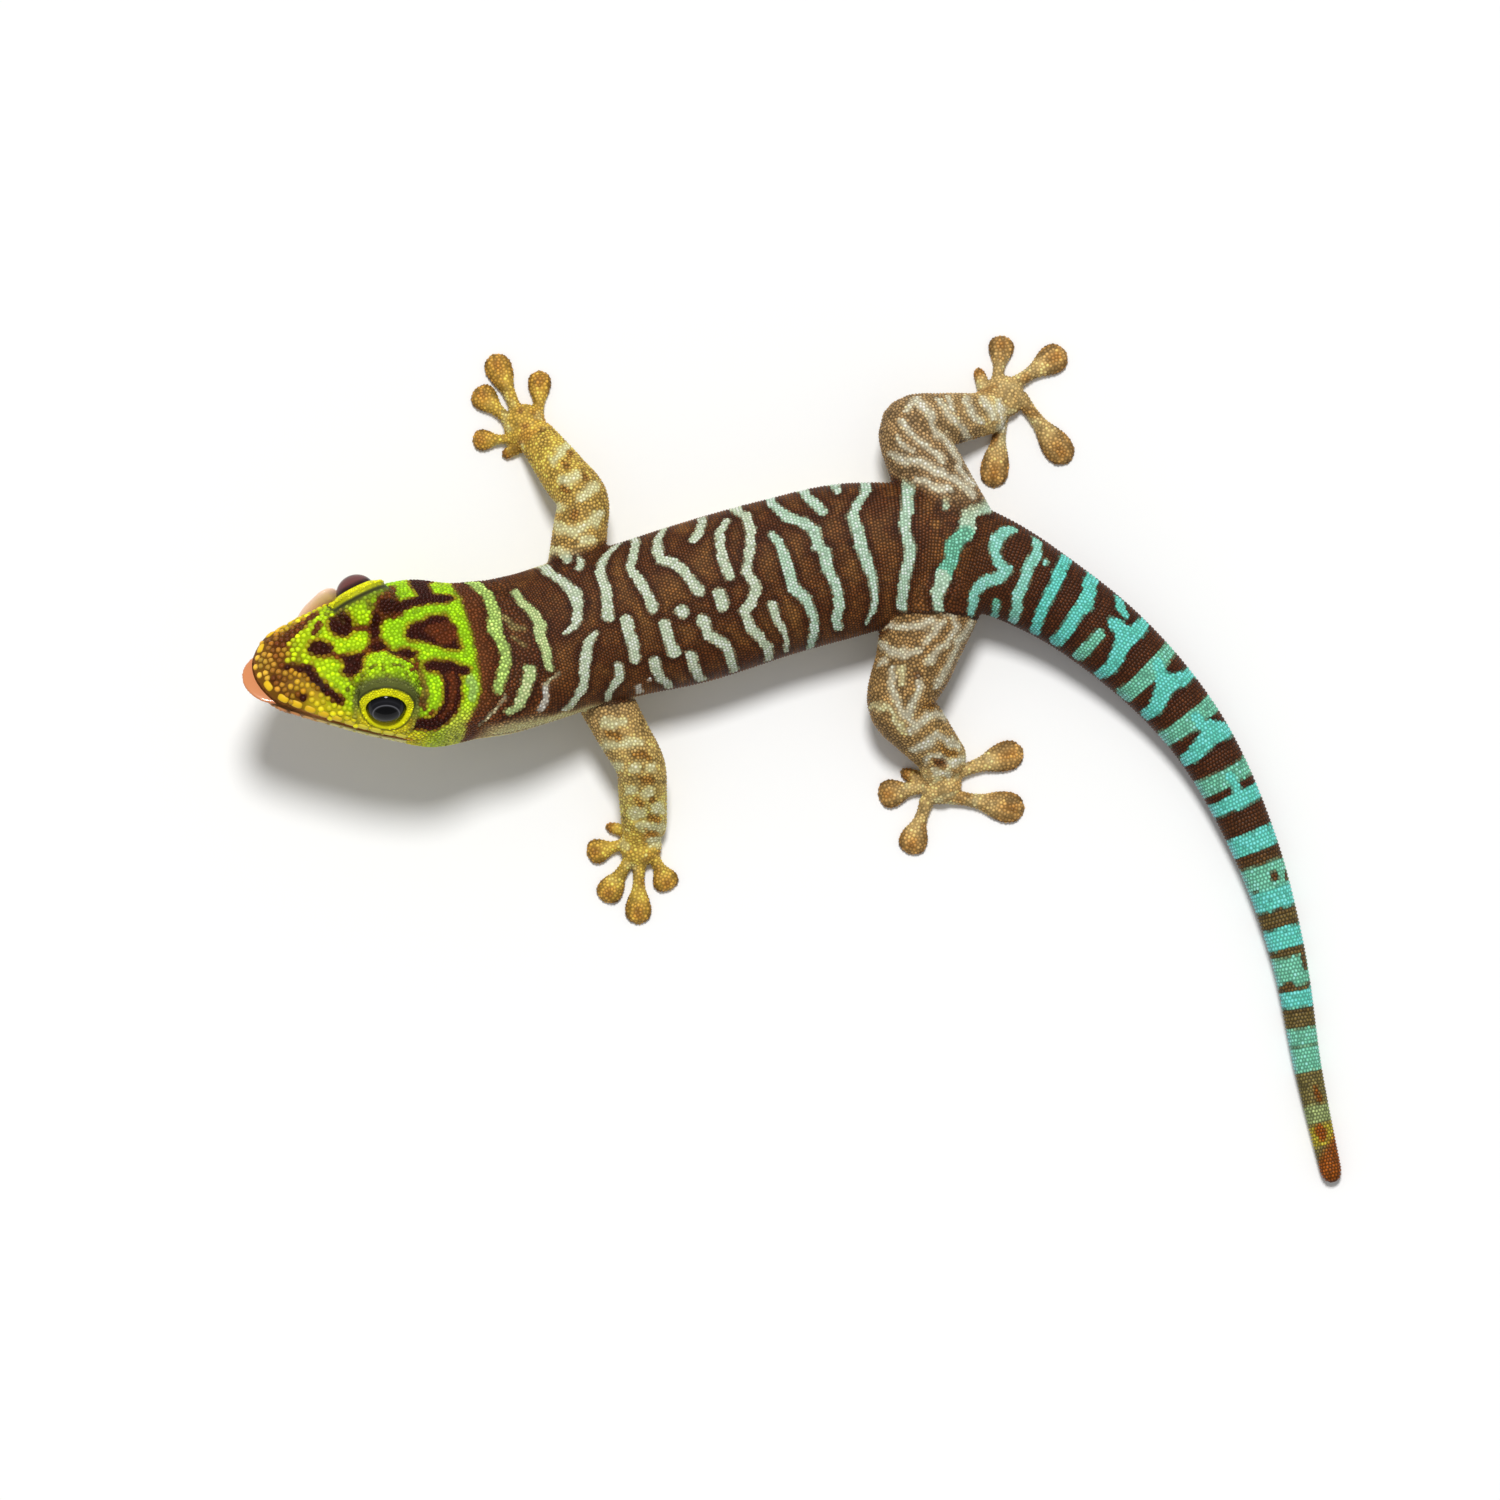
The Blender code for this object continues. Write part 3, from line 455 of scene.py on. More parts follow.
def joined(name, pieces):
    """One mesh object that holds all the pieces."""
    points, corners, count = [], [], 0
    for piece in pieces:
        data = piece.data
        data.calc_loop_triangles()
        places = np.empty(len(data.vertices) * 3, np.float32)
        data.vertices.foreach_get("co", places)
        faces = np.empty(len(data.loop_triangles) * 3, np.int32)
        data.loop_triangles.foreach_get("vertices", faces)
        points.append(places.reshape(-1, 3))
        corners.append(faces.reshape(-1, 3) + count)
        count += len(data.vertices)
        bpy.data.objects.remove(piece)
    corners = np.concatenate(corners)
    return mesh_of(name, np.concatenate(points), corners, len(corners))


def remeshed(made, voxel):
    """One closed surface round everything in the object."""
    step = made.modifiers.new("one_surface", "REMESH")
    step.mode = "VOXEL"
    step.voxel_size = voxel
    return applied(made)


def cut(made, cutter):
    """Take one closed shape out of another."""
    trim = made.modifiers.new("cut", "BOOLEAN")
    trim.operation = "DIFFERENCE"
    trim.object = cutter
    trim.solver = "MANIFOLD"
    applied(made)
    bpy.data.objects.remove(cutter)
    return made


def places_of(made):
    """The places of an object's points."""
    found = np.empty(len(made.data.vertices) * 3, np.float32)
    made.data.vertices.foreach_get("co", found)
    return found.reshape(-1, 3).astype(float)


def put_places(made, points):
    """Move an object's points to these places."""
    made.data.vertices.foreach_set("co", points.astype(np.float32).ravel())
    made.data.update()


def normals_of(made):
    """The outward direction at each of an object's points."""
    found = np.empty(len(made.data.vertices) * 3, np.float32)
    made.data.vertices.foreach_get("normal", found)
    return found.reshape(-1, 3).astype(float)


def relaxed(made, points, amount, steps):
    """Smooth a mesh, each point as far as its own amount, without making it smaller."""
    edges = np.empty(len(made.data.edges) * 2, np.int32)
    made.data.edges.foreach_get("vertices", edges)
    first, second = edges.reshape(-1, 2).T
    count = len(points)
    valence = (np.bincount(first, minlength=count) + np.bincount(second, minlength=count))[:, None]
    for step in range(2 * steps):
        total = np.stack([np.bincount(first, points[second, i], count)
                          + np.bincount(second, points[first, i], count) for i in range(3)], -1)
        part = 0.5 if step % 2 == 0 else -0.51
        points = points + part * amount[:, None] * (total / valence - points)
    return points


def noise(points, size, seed):
    """Smooth random values between -1 and 1, with features about this large."""
    grid = np.random.default_rng(seed).uniform(-1, 1, (32, 32, 32))
    place = np.asarray(points) / size
    low = np.floor(place).astype(int)
    part = place - low
    part = part * part * (3 - 2 * part)
    total = np.zeros(len(place))
    for corner in range(8):
        step = np.array([corner & 1, corner >> 1 & 1, corner >> 2])
        weight = np.prod(np.where(step, part, 1 - part), axis=1)
        total += weight * grid[tuple(((low + step) % 32).T)]
    return total


def mouth_height(back):
    """How far the line of the mouth lies under the head's axis."""
    share = np.clip(np.asarray(back, float) / MOUTH_CORNER, 0, 1)
    return -(MOUTH_TIP_UNDER + (MOUTH_CORNER_UNDER - MOUTH_TIP_UNDER) * share**1.6)


def mouth_opening(back):
    """How far the jaws are apart."""
    share = np.clip(np.asarray(back, float) / MOUTH_CORNER, 0, 1)
    return MOUTH_OPEN_CORNER + (MOUTH_OPEN_TIP - MOUTH_OPEN_CORNER) * (1 - share) ** 1.5


def lip_measures(points):
    """How far behind the snout, over the head's axis and over the upper lip's edge places lie."""
    back, _, over = head_measures(points)
    return back, over, over - mouth_height(back) - mouth_opening(back) / 2


def head_side(back, over):
    """How far to the side the head reaches at this height over its axis."""
    at = np.array([back])
    half, high, low = smooth_table(HEAD_SECTIONS, at)[0] * end_rounding(at)[0]
    share = abs(over) / (high if over > 0 else low)
    return half * max(1 - share**SECTION_POWER, 0.0) ** (1 / SECTION_POWER)


def mouth_cutter():
    """The space between the jaws, as far as the corners of the mouth."""
    backs = np.linspace(-2.5, MOUTH_CORNER, 40)
    closing = np.clip((MOUTH_CORNER - backs) / 1.2, 0.06, 1) ** 0.5
    half = mouth_opening(backs) / 2 * closing
    rows = []
    for side in (-10.0, 10.0):
        upper = [head_point(b, side, o + h) for b, o, h in zip(backs, mouth_height(backs), half)]
        lower = [head_point(b, side, o - h) for b, o, h in zip(backs, mouth_height(backs), half)]
        rows.append(np.array(upper + lower[::-1]))
    return tube("mouth_cutter", np.array(rows))


def eye_middle(side):
    """The middle of the left eye for 1 and of the right eye for -1."""
    return head_point(EYE_BACK[side], side * EYE_SIDE[side], EYE_OVER[side])


def eye_axis(side):
    """The way an eye looks: out, a little up and forward."""
    forward, left, up = head_axes()
    raised, turned = EYE_LOOK_UP[side], EYE_LOOK_FORWARD[side]
    out = left * side * math.cos(raised) + up * math.sin(raised)
    return (out * math.cos(turned) + forward * math.sin(turned)).normalized()


def eye_measures(points, side):
    """How far out along an eye's axis, and how far from that axis, places lie."""
    away = points - np.array(eye_middle(side))
    height = away @ np.array(eye_axis(side))
    flat = away - height[:, None] * np.array(eye_axis(side))
    return height, np.linalg.norm(flat, axis=1), flat


def on_lids(points, reach):
    """Which places lie on the lids, no further than this from an eye's axis."""
    found = np.zeros(len(points), bool)
    for side in (1, -1):
        height, radius, _ = eye_measures(points, side)
        found |= (radius < reach) & (height > LID_LIFT)
    return found


def turned_shape(name, side, outline, sides=72):
    """A round shape about an eye's axis, from radii and distances out."""
    middle, axis = np.array(eye_middle(side)), np.array(eye_axis(side))
    across = np.cross(axis, np.array(head_axes()[0]))
    across /= np.linalg.norm(across)
    around = np.cross(axis, across)
    turn = np.linspace(0, 2 * np.pi, sides, endpoint=False)
    circle = np.cos(turn)[:, None] * across + np.sin(turn)[:, None] * around
    return tube(name, np.array([middle + circle * r + axis * out for r, out in outline]))


def lid_ring(name, side):
    """The ring of lids round an eye, closed inside so that it joins the head as a disc."""
    outline = [(0.05, -0.6), (LID_RING + LID_THICK * 0.7, -0.6)]
    for angle in np.linspace(-50, 180, 16):
        tilt = math.radians(angle)
        outline.append((LID_RING - 0.12 + (LID_THICK + 0.06) * math.cos(tilt),
                        LID_OUT + LID_THICK * 0.8 * math.sin(tilt)))
    outline += [(EYE_RADIUS - 0.1, LID_OUT - 0.05), (0.05, LID_OUT - 0.05)]
    return turned_shape(name, side, outline)


def toe(name, root, tip, pad, shape):
    """One toe on the floor, a thin stem that widens into a round pad of this half width."""
    root, tip = np.array(root), np.array(tip)
    along = (tip - root) / np.linalg.norm(tip - root)
    side = np.array((-along[1], along[0]))
    share = np.linspace(0, 1, 40)
    width, height = smooth_table(shape, share).T
    end = np.sqrt(np.clip(1 - np.clip((share - 0.93) / 0.085, 0, 1) ** 2, 0.02, 1))
    turn = np.linspace(0, 2 * np.pi, 32, endpoint=False)
    rings = []
    for i, place in enumerate(share):
        wide = (width[i] * pad - COAT) * end[i]
        half = (height[i] - COAT + UNDER_FLOOR) / 2 * end[i] ** 0.5
        flat = root + (tip - root) * place + side * (wide * np.cos(turn))[:, None]
        rings.append(np.column_stack([flat, half - UNDER_FLOOR + half * np.sin(turn)]))
    return tube(name, np.array(rings))


def heel(name, start, along, ankle, palm):
    """From the end of the lower leg to the middle of the palm."""
    side = Vector((0, 0, 1)).cross(along).normalized()
    turn = np.linspace(0, 2 * np.pi, 40, endpoint=False)
    ends = []
    for middle, axis, wide, high in ((start, along, ankle, ankle * LIMB_FLATTER),
                                     (palm, (palm - start).normalized(), PALM_RADII[0] * 0.8,
                                      PALM_RADII[2] * 0.8)):
        over = axis.cross(side).normalized()
        ends.append(np.array(middle) + np.outer(np.cos(turn) * (wide - COAT), side)
                    + np.outer(np.sin(turn) * (high - COAT), over))
    shares = np.linspace(0, 1, 20)[:, None, None]
    return tube(name, ends[0] * (1 - shares) + ends[1] * shares)


def leg_pieces(name, leg):
    """The shapes that make one leg."""
    root, bend, wrist = Vector(leg["root"]), Vector(leg["bend"]), Vector(leg["wrist"])
    thick, knee = leg["upper"]
    low, ankle = leg["lower"]
    palm = Vector((*leg["palm"], PALM_MIDDLE_OVER))
    flat = LIMB_FLATTER
    radii = [r - COAT for r in PALM_RADII]
    inner = (root + wrist) / 2 - bend
    middles = [root, root.lerp(bend, 0.6), bend + inner.normalized() * BEND_IN,
               bend.lerp(wrist, 0.4), wrist]
    middles[-1] = wrist - Vector((0, 0, WRIST_DROP))
    widths = [thick, thick + (knee - thick) * 0.6, knee, knee + (low - knee) * 0.8, ankle]
    heights = [wide * flat for wide in widths[:-1]] + [ankle * flat * 0.85]
    pieces = [
        sweep(f"{name}_limb", middles, widths, heights, 56, grow=-COAT),
        ellipsoid(f"{name}_palm", palm, ((1, 0, 0), (0, 1, 0), (0, 0, 1)), radii),
        heel(f"{name}_heel", wrist - (wrist - bend).normalized(), (wrist - bend).normalized(),
             ankle, palm),
    ]
    for i, (start, tip, pad) in enumerate(leg["toes"]):
        pieces.append(toe(f"{name}_toe_{i}", start, tip, pad, STUB_SHAPE if i == 0 else TOE_SHAPE))
    return pieces


def search_tree(points):
    """A search tree over these places."""
    tree = KDTree(len(points))
    for i, point in enumerate(points):
        tree.insert(point, i)
    tree.balance()
    return tree


# A fine net of places on the body, with the distance behind the snout and the arc of each
NET_BACK = np.r_[np.linspace(0.02, 22, 230), np.linspace(22.1, BODY_LENGTH - 0.02, 620)]
NET_TURN = np.linspace(-np.pi, np.pi, 181)
NET = body_rings(NET_BACK, NET_TURN)
NET_ARC = np.zeros(NET.shape[:2])
NET_ARC[:, 1:] = np.cumsum(np.linalg.norm(np.diff(NET, axis=1), axis=2), axis=1)
HALF_ROUND = NET_ARC[:, -1] / 2
NET_ARC -= NET_ARC[:, 90:91]


def body_measures(points, tree):
    """Distance behind the snout, arc, and distance from the body's own surface of each place."""
    found = np.array([tree.find(point)[1] for point in points])
    row, column = np.divmod(found, len(NET_TURN))
    row = np.clip(row, 1, len(NET_BACK) - 2)
    column = np.clip(column, 1, len(NET_TURN) - 2)
    here = NET[row, column]
    away = points - here
    along = NET[row + 1, column] - NET[row - 1, column]
    round_it = NET[row, column + 1] - NET[row, column - 1]
    normal = np.cross(along, round_it)
    normal /= np.linalg.norm(normal, axis=1)[:, None] + 1e-9
    back_step = (NET_BACK[row + 1] - NET_BACK[row - 1]) / ((along**2).sum(1) + 1e-9)
    back = NET_BACK[row] + np.clip((away * along).sum(1) * back_step, -0.3, 0.3)
    arc_step = (NET_ARC[row, column + 1] - NET_ARC[row, column - 1]) / ((round_it**2).sum(1) + 1e-9)
    arc = NET_ARC[row, column] + np.clip((away * round_it).sum(1) * arc_step, -0.4, 0.4)
    out = (away * normal).sum(1)
    inward = ((points - smooth_table(BODY, back)[:, :3]) * normal).sum(1) < 0
    out = np.where(inward, -out, out)
    return back, arc, np.where(np.abs(out) > 0.8, np.linalg.norm(away, axis=1) * np.sign(out), out)


def leg_segments():
    """Every length of every leg as leg number, length number, start and end."""
    rows = []
    for number, leg in enumerate(LEGS.values()):
        palm = (*leg["palm"], PALM_MIDDLE_OVER)
        chain = [leg["root"], leg["bend"], leg["wrist"], palm]
        lengths = list(zip(chain, chain[1:]))
        lengths += [((*start, 0.5), (*tip, 0.4)) for start, tip, pad in leg["toes"]]
        rows += [(number, i, *start, *end) for i, (start, end) in enumerate(lengths)]
    return np.array(rows, float)


SEGMENTS = leg_segments()


def leg_measures(points):
    """The nearest length of leg to each place, how far along it and how far away."""
    best = np.full(len(points), np.inf)
    which = np.zeros(len(points), int)
    share = np.zeros(len(points))
    for i, row in enumerate(SEGMENTS):
        start, step = row[2:5], row[5:8] - row[2:5]
        along = np.clip((points - start) @ step / (step @ step), 0, 1)
        away = np.linalg.norm(points - start - along[:, None] * step, axis=1)
        nearer = away < best
        best[nearer], which[nearer], share[nearer] = away[nearer], i, along[nearer]
    return which, share, best


def on_feet(points):
    """Which places have a palm or a toe as their nearest length of leg."""
    return SEGMENTS[leg_measures(points)[0], 1] > 1


# Folds of the skin as strokes of back, arc and half width, each with its depth
FOLDS = (
    (0.16, ((19.3, 5.3, 0.25), (18.3, 7.0, 0.3), (17.6, 8.6, 0.3))),
    (0.12, ((23.6, 3.4, 0.2), (22.4, 4.6, 0.25), (21.8, 6.6, 0.25))),
    (0.12, ((20.6, -6.6, 0.25), (20.9, -5.0, 0.2), (21.2, -3.6, 0.15))),
    (0.10, ((17.4, -6.0, 0.2), (17.7, -3.0, 0.2), (17.8, 0.0, 0.2), (17.6, 3.0, 0.2))),
    (0.12, ((7.4, 4.5, 0.2), (8.5, 3.5, 0.2), (9.9, 3.15, 0.2), (11.2, 3.4, 0.2), (12.5, 4.4, 0.2))),
    (0.12, ((7.4, -4.5, 0.2), (8.5, -3.5, 0.2), (9.9, -3.15, 0.2), (11.2, -3.4, 0.2))),
)


def stroke_cover(back, arc, stroke, soft):
    """How strongly a stroke of changing half width covers each place, from 0 to 1."""
    rows = np.array(stroke, float)
    if len(rows) == 1:
        rows = np.repeat(rows, 2, axis=0)
    cover = np.zeros(len(back))
    for start, end in zip(rows, rows[1:]):
        step = end[:2] - start[:2]
        along = (back - start[0]) * step[0] + (arc - start[1]) * step[1]
        along = np.clip(along / max(step @ step, 1e-9), 0, 1)
        away = np.hypot(back - start[0] - along * step[0], arc - start[1] - along * step[1])
        half = start[2] + along * (end[2] - start[2])
        cover = np.maximum(cover, np.clip((half - away) / soft + 0.5, 0, 1))
    return cover


def band(colour, half, back, reach):
    """A mark straight across the tail."""
    return colour, (half, half), (back, -reach), (back, reach)


def dot(colour, half, back, arc):
    """A round mark."""
    return colour, (half, half), (back, arc)


# Markings on head, trunk and tail: colour, half width at the first and last place, and each place
# along the stroke as back and arc. A mark with no half width is a patch with this outline.
MARKS = (
    # Head
    (MAROON, None, (6.8, -3.2), (7.7, -3.3), (8.0, -2.6), (8.2, -1.9), (8.2, -1.4), (7.6, -1.0),
     (6.9, -1.3), (6.5, -2.0), (6.6, -2.7)),
    (MAROON, None, (4.8, -1.1), (5.35, -1.1), (5.95, -0.7), (6.25, -0.05), (6.05, 0.5), (5.5, 0.5),
     (4.75, 0.2), (4.5, -0.4)),
    (RED_BROWN, (0.2, 0.25), (6.1, 0.4), (6.9, 0.9)),
    (RED_BROWN, (0.25, 0.3), (8.75, 0.85), (9.4, 0.5)),
    (RED_BROWN, (0.2, 0.3), (8.3, -1.6), (9.6, -1.2)),
    (MAROON, None, (6.7, 0.76), (8.75, 0.86), (8.5, 1.4), (8.3, 2.0), (8.2, 2.5), (7.7, 2.73),
     (7.1, 2.67), (6.8, 2.3), (7.1, 1.9), (7.0, 1.4)),
    (MAROON, (0.35, 0.35), (10.6, -2.4), (10.0, -1.6), (9.9, -0.8), (9.8, 0), (9.9, 0.7)),
    (MAROON, None, (9.2, 0.4), (9.6, 0), (10.3, 0), (10.7, 0.6), (10.5, 0.95), (9.9, 0.85), (9.4, 0.9)),
    (RED_BROWN, None, (10.4, -3.2), (11.2, -3.9), (11.8, -4.6), (12.3, -4.2), (12.4, -3.6),
     (12.7, -3.3), (12.5, -2.5), (11.8, -2.0), (11, -2), (10.5, -1.9), (10.2, -2.5)),
    (MAROON, (0.5, 0.35), (11.0, -2.7), (12.2, -3.2)),
    (RED_BROWN, (0.25, 0.25), (12, -4.4), (12.2, -5.2), (12.3, -6)),
    dot(RED_BROWN, 0.45, 8.6, -4.6),
    (MAROON, (0.45, 0.5), (12.5, -3.4), (12.9, -3.5), (13.9, -3.8), (15, -3.9), (16.4, -3.9)),
    (MAROON, (0.5, 0.9), (14.8, -4.3), (14.5, -5.4), (14.5, -6.2), (14.9, -7.2)),
    (MAROON, None, (12.4, -0.4), (12.75, -1.25), (13.45, -1.4), (14.2, -1.6), (14.65, -2.05),
     (15.75, -1.98), (16.0, -1.6), (16.25, -0.05), (16.45, 1.25), (15.8, 1.3), (14.9, 0.8),
     (13.7, 0.35), (12.6, 0.15)),
    (TRAPEZOID_BROWN, (0.35, 1.1), (14.2, -0.6), (14.8, -0.55), (15.4, -0.3)),
    (MAROON, None, (10.6, 0.9), (11, 1.2), (11.6, 1), (12.5, 1), (12.95, 1.3), (12.7, 1.8), (12, 1.95),
     (11.2, 2), (10.8, 1.7), (10.4, 1.1)),
    (RED_BROWN, (0.22, 0.16), (11.4, 1.9), (11.9, 2.4)),
    (RED_BROWN, (0.18, 0.22), (12.3, 2.4), (12.9, 2.9)),
    (RED_BROWN, (0.16, 0.16), (12.9, 2.0), (12.6, 2.9), (12.0, 3.2)),
    (MAROON, None, (13.3, 2.4), (14.3, 2.2), (15.5, 2.4), (16.8, 3.1), (16.7, 3.6), (16, 3.55),
     (15.2, 3.4), (14.2, 3.2), (13.5, 3.0)),
    (MAROON, (0.72, 0.5), (15.3, 3.3), (15.5, 4.2), (15.4, 5.2), (15.1, 6.2), (14.4, 7.0), (13.6, 7.6),
     (13, 7.6), (12.1, 7.4)),
    (TRAPEZOID_BROWN, (0.4, 0.16), (15.4, 3.6), (15.5, 4.4), (15.4, 5.3), (15.0, 6.3), (14.3, 7.0)),
    (CHEEK_GREEN, (0.35, 0.3), (16.85, 4.0), (16.95, 4.8), (16.75, 5.5)),
    (EYE_REAR_OLIVE, (0.3, 0.28), (12.9, 3.3), (13.05, 4.6), (12.95, 5.8)),
    (RED_BROWN, (0.28, 0.2), (12.5, 5.4), (12.9, 6.2)),
    dot(RED_BROWN, 0.2, 13.4, 6.6),
    (RED_BROWN, (0.35, 0.6), (5.6, -4.2), (4.4, -3.3), (3.4, -2.4), (2.3, -1.7)),
    (MAROON, (0.22, 0.32), (2.4, 0.75), (3.3, 1.0), (4.1, 1.3)),
    (MAROON, (0.36, 0.28), (4.1, 1.3), (4.5, 2.3), (5.2, 3.3), (5.8, 4.1), (6.3, 4.6)),
    (RED_BROWN, (0.3, 0.25), (5.2, -1.9), (5.9, -3.0)),
    dot(MAROON, 0.35, 3.4, 3.4),
    dot(RED_BROWN, 0.38, 1.4, 1.6),
    # Neck
    (NECK_PALE, (0.55, 0.62), (18.7, -6.2), (18.9, -5), (19.4, -4.2), (19.5, -3), (19.4, -1.6),
     (19.1, -0.4)),
    (NECK_PALE, (0.5, 0.35), (19.3, 0.3), (19.65, 1.2), (19.55, 2.4), (19.15, 3.6), (18.85, 4.8)),
    # Pale skin on the fold's ridge, partly painted highlight, and painted shade in the groove beside it
    (FOLD_PALE_HIGHLIGHT, (0.14, 0.2), (19.3, 5.3), (18.3, 7), (17.6, 8.6)),
    (TAIL_BROWN, (0.1, 0.15), (19.0, 5.3), (18.0, 7), (17.2, 8.6)),
    (NECK_PALE_2, (0.45, 0.6), (22.2, -3.9), (22.3, -2.9), (23.1, -1.5), (23.2, -0.6)),
    (NECK_PALE_2, (0.6, 0.4), (23.2, -0.6), (22.8, 0.3), (22.9, 1.8), (22.8, 3.1)),
    (PALE_FLANK, (0.3, 0.3), (22.2, 4.6), (22.1, 5.8), (21.6, 6.6)),
    # Pale skin on a fold's ridge, partly painted highlight
    (FOLD_PALE_HIGHLIGHT, (0.14, 0.12), (22.2, 4.4), (23.5, 3.6)),
    (NECK_PALE_2, (0.45, 0.25), (21.2, 3.2), (20.9, 4.1), (20.5, 5.2), (20.1, 6.1), (19.5, 6.6)),
    # Olive-beige folds, lighter with painted highlight on their edges
    (FOLD_LIGHT, (0.35, 0.25), (20.3, -1.6), (20.9, -0.6), (21.6, -0.4)),
    (FOLD_LIGHT, (0.18, 0.15), (20.6, 0.3), (21.3, 1.2)),
    # Trunk
    (PALE, (0.4, 0.5), (26, -8), (26.1, -6.8), (26.1, -5.4), (26.5, -4.1), (27.1, -2.9), (27, -1.8)),
    (PALE, (0.5, 0.15), (27, -1.8), (26.7, -0.8), (26.1, 0.1), (25, 0.5)),
    (PALE, (0.25, 0.5), (27.7, 0.8), (26.9, 1.5), (26.2, 2.6)),
    (PALE, (0.5, 0.3), (26.2, 2.6), (25.6, 3.9), (25.2, 5.2), (24.3, 6.2), (23.8, 7.2)),
    (PALE, (0.3, 0.3), (28.5, -6), (28.2, -5.1)),
    (PALE, (0.35, 0.35), (27.7, -7.4), (27.6, -6.4)),
    (PALE, (0.3, 0.55), (32.2, -7.8), (31.5, -6.9), (30.3, -5.6), (29.6, -4.3), (29.7, -2.9),
     (29.5, -1.5), (29.2, -0.5)),
    (PALE, (0.45, 0.35), (29.1, 3.8), (29, 4.8), (28.3, 5.6), (27.8, 6.4), (27.8, 7.2)),
    (PALE, (0.6, 0.5), (30.7, 0.2), (30.7, 1.6), (30.7, 3.3)),
    (PALE_FLANK, (0.3, 0.4), (30.6, 6.1), (30.7, 7)),
    (PALE, (0.35, 0.5), (33.6, -8.5), (33.4, -6.5), (32.9, -5.2), (32.3, -4.1), (32.8, -3),
     (33.2, -1.7), (33.4, -0.4)),
    (PALE, (0.5, 0.5), (34, 1.1), (34, 2.1), (34.2, 3.6)),
    (PALE, (0.5, 0.3), (32.4, 3.9), (32.4, 4.8), (32.6, 5.8), (33.1, 6.5), (33.2, 7.5)),
    dot(PALE_FLANK, 0.2, 31.6, 5.6),
    (PALE, (0.35, 0.5), (36.2, -8.6), (35.9, -7.3), (35.3, -6.2), (35, -5), (35.1, -4.1), (36, -3.6),
     (36.7, -2.6), (37.1, -1.5), (37.4, -0.8)),
    dot(PALE, 0.55, 35.6, 0.45),
    (PALE, (0.4, 0.4), (35.4, 4), (35.5, 5), (35.5, 6.4), (35.8, 7.4)),
    (PALE, (0.5, 0.35), (37, 1.5), (37.1, 2.9), (37.9, 3.7), (38.2, 4.6), (38.3, 6), (38.3, 7.5)),
    (PALE, (0.5, 0.55), (38.9, -0.1), (38.9, 0.8)),
    (PALE, (0.4, 0.4), (39.5, -7.9), (39.4, -6.8), (39, -5.8), (38.2, -5.2)),
    (PALE, (0.35, 0.45), (41.3, -6), (40.4, -5), (40.1, -3.5), (40, -2.4), (40.1, -1.2)),
    (PALE, (0.4, 0.4), (42.3, -8.4), (42.3, -6.8), (42.8, -6), (42.8, -4.4), (42.4, -2.9), (41.8, -1.6),
     (41.6, -1.1)),
    (PALE, (0.45, 0.42), (41.7, -0.6), (41.9, 0.3), (41.2, 1.4), (40.4, 1.9), (40.5, 3.4), (41.1, 4.5),
     (41.5, 5.8), (41.2, 7.5)),
    (PALE, (0.4, 0.25), (42.8, 2.1), (42.8, 3.2), (43.2, 4.5), (43.2, 5.5), (43, 6.9)),
    (PALE_AQUA, (0.4, 0.5), (45, -8.5), (45, -6.8), (45.4, -5.6), (46.1, -4.5), (47, -3.9),
     (47.7, -2.9), (47.7, -1.6)),
    (PALE_AQUA, (0.5, 0.4), (48.1, -1), (48, 0.3), (48.4, 1.5), (48.4, 2.7), (48.3, 3.7), (47.7, 4.8),
     (47.8, 5.7)),
    (PALE_AQUA, (0.35, 0.5), (44.3, -3.5), (44.8, -2.6), (44.8, -1.3), (44.9, 0)),
    (PALE_AQUA, (0.5, 0.35), (44.9, 0), (44.9, 1.1), (45.7, 2.3), (45.9, 3.7), (45.7, 5.2), (45.3, 6.3),
     (44.9, 7.7)),
    (PALE_AQUA, (0.4, 0.4), (47.5, -8.4), (47.7, -6.9), (48, -5.6), (48.6, -4.4)),
    (PALE_AQUA, (0.4, 0.2), (49.7, -8.2), (49.9, -6.8), (49.9, -6)),
    (PALE_AQUA, (0.35, 0.5), (52, -7.6), (52, -5.8), (51.2, -4.5), (50.6, -3.5), (50.8, -2.3),
     (50.9, -1)),
    (PALE_AQUA, (0.5, 0.2), (50.9, -1), (51.2, 0.3), (51.4, 1.9), (51.4, 3.7), (51.1, 4.8),
     (50.4, 5.8)),
    # Hips and tail
    (PALE_AQUA, (0.35, 0.5), (54.6, -6.8), (54.7, -5.2), (54.6, -3.5), (54.3, -1.9), (54.7, -0.3),
     (54.4, 1.3), (53.9, 2.9), (53.6, 4.6)),
    (PALE_AQUA, (0.35, 0.2), (57, -6), (57, -4.5), (57, -3.6)),
    dot(BROWN_LIGHT, 0.4, 56.5, -2.3),
    (PALE_AQUA, (0.4, 0.55), (60, -6), (59.6, -4.7), (58.6, -3.5), (58.6, -1.9)),
    (TURQUOISE_GREEN, (0.55, 0.65), (58.6, -1.9), (57.9, -0.8), (57.9, 0.5), (57.4, 1.9)),
    (PALE_AQUA, (0.65, 0.5), (57.4, 1.9), (57, 3.1), (57.3, 4.5)),
    (TURQUOISE_SOFT, (0.4, 0.55), (61.8, -3.8), (61, -2.5), (60.9, -1.3), (61.5, -0.4), (62.3, -0.2),
     (62.1, 0.6), (61, 1.5), (60.5, 2.7), (60.7, 3.8)),
    (TURQUOISE_GREEN, (0.35, 0.35), (62.7, 2.7), (63.2, 3.7), (63.5, 5)),
    (TURQUOISE_SOFT, (0.45, 0.48), (63.6, -3.9), (63.9, -2.7), (63.8, -1.2), (64, 0), (64.1, 1.2),
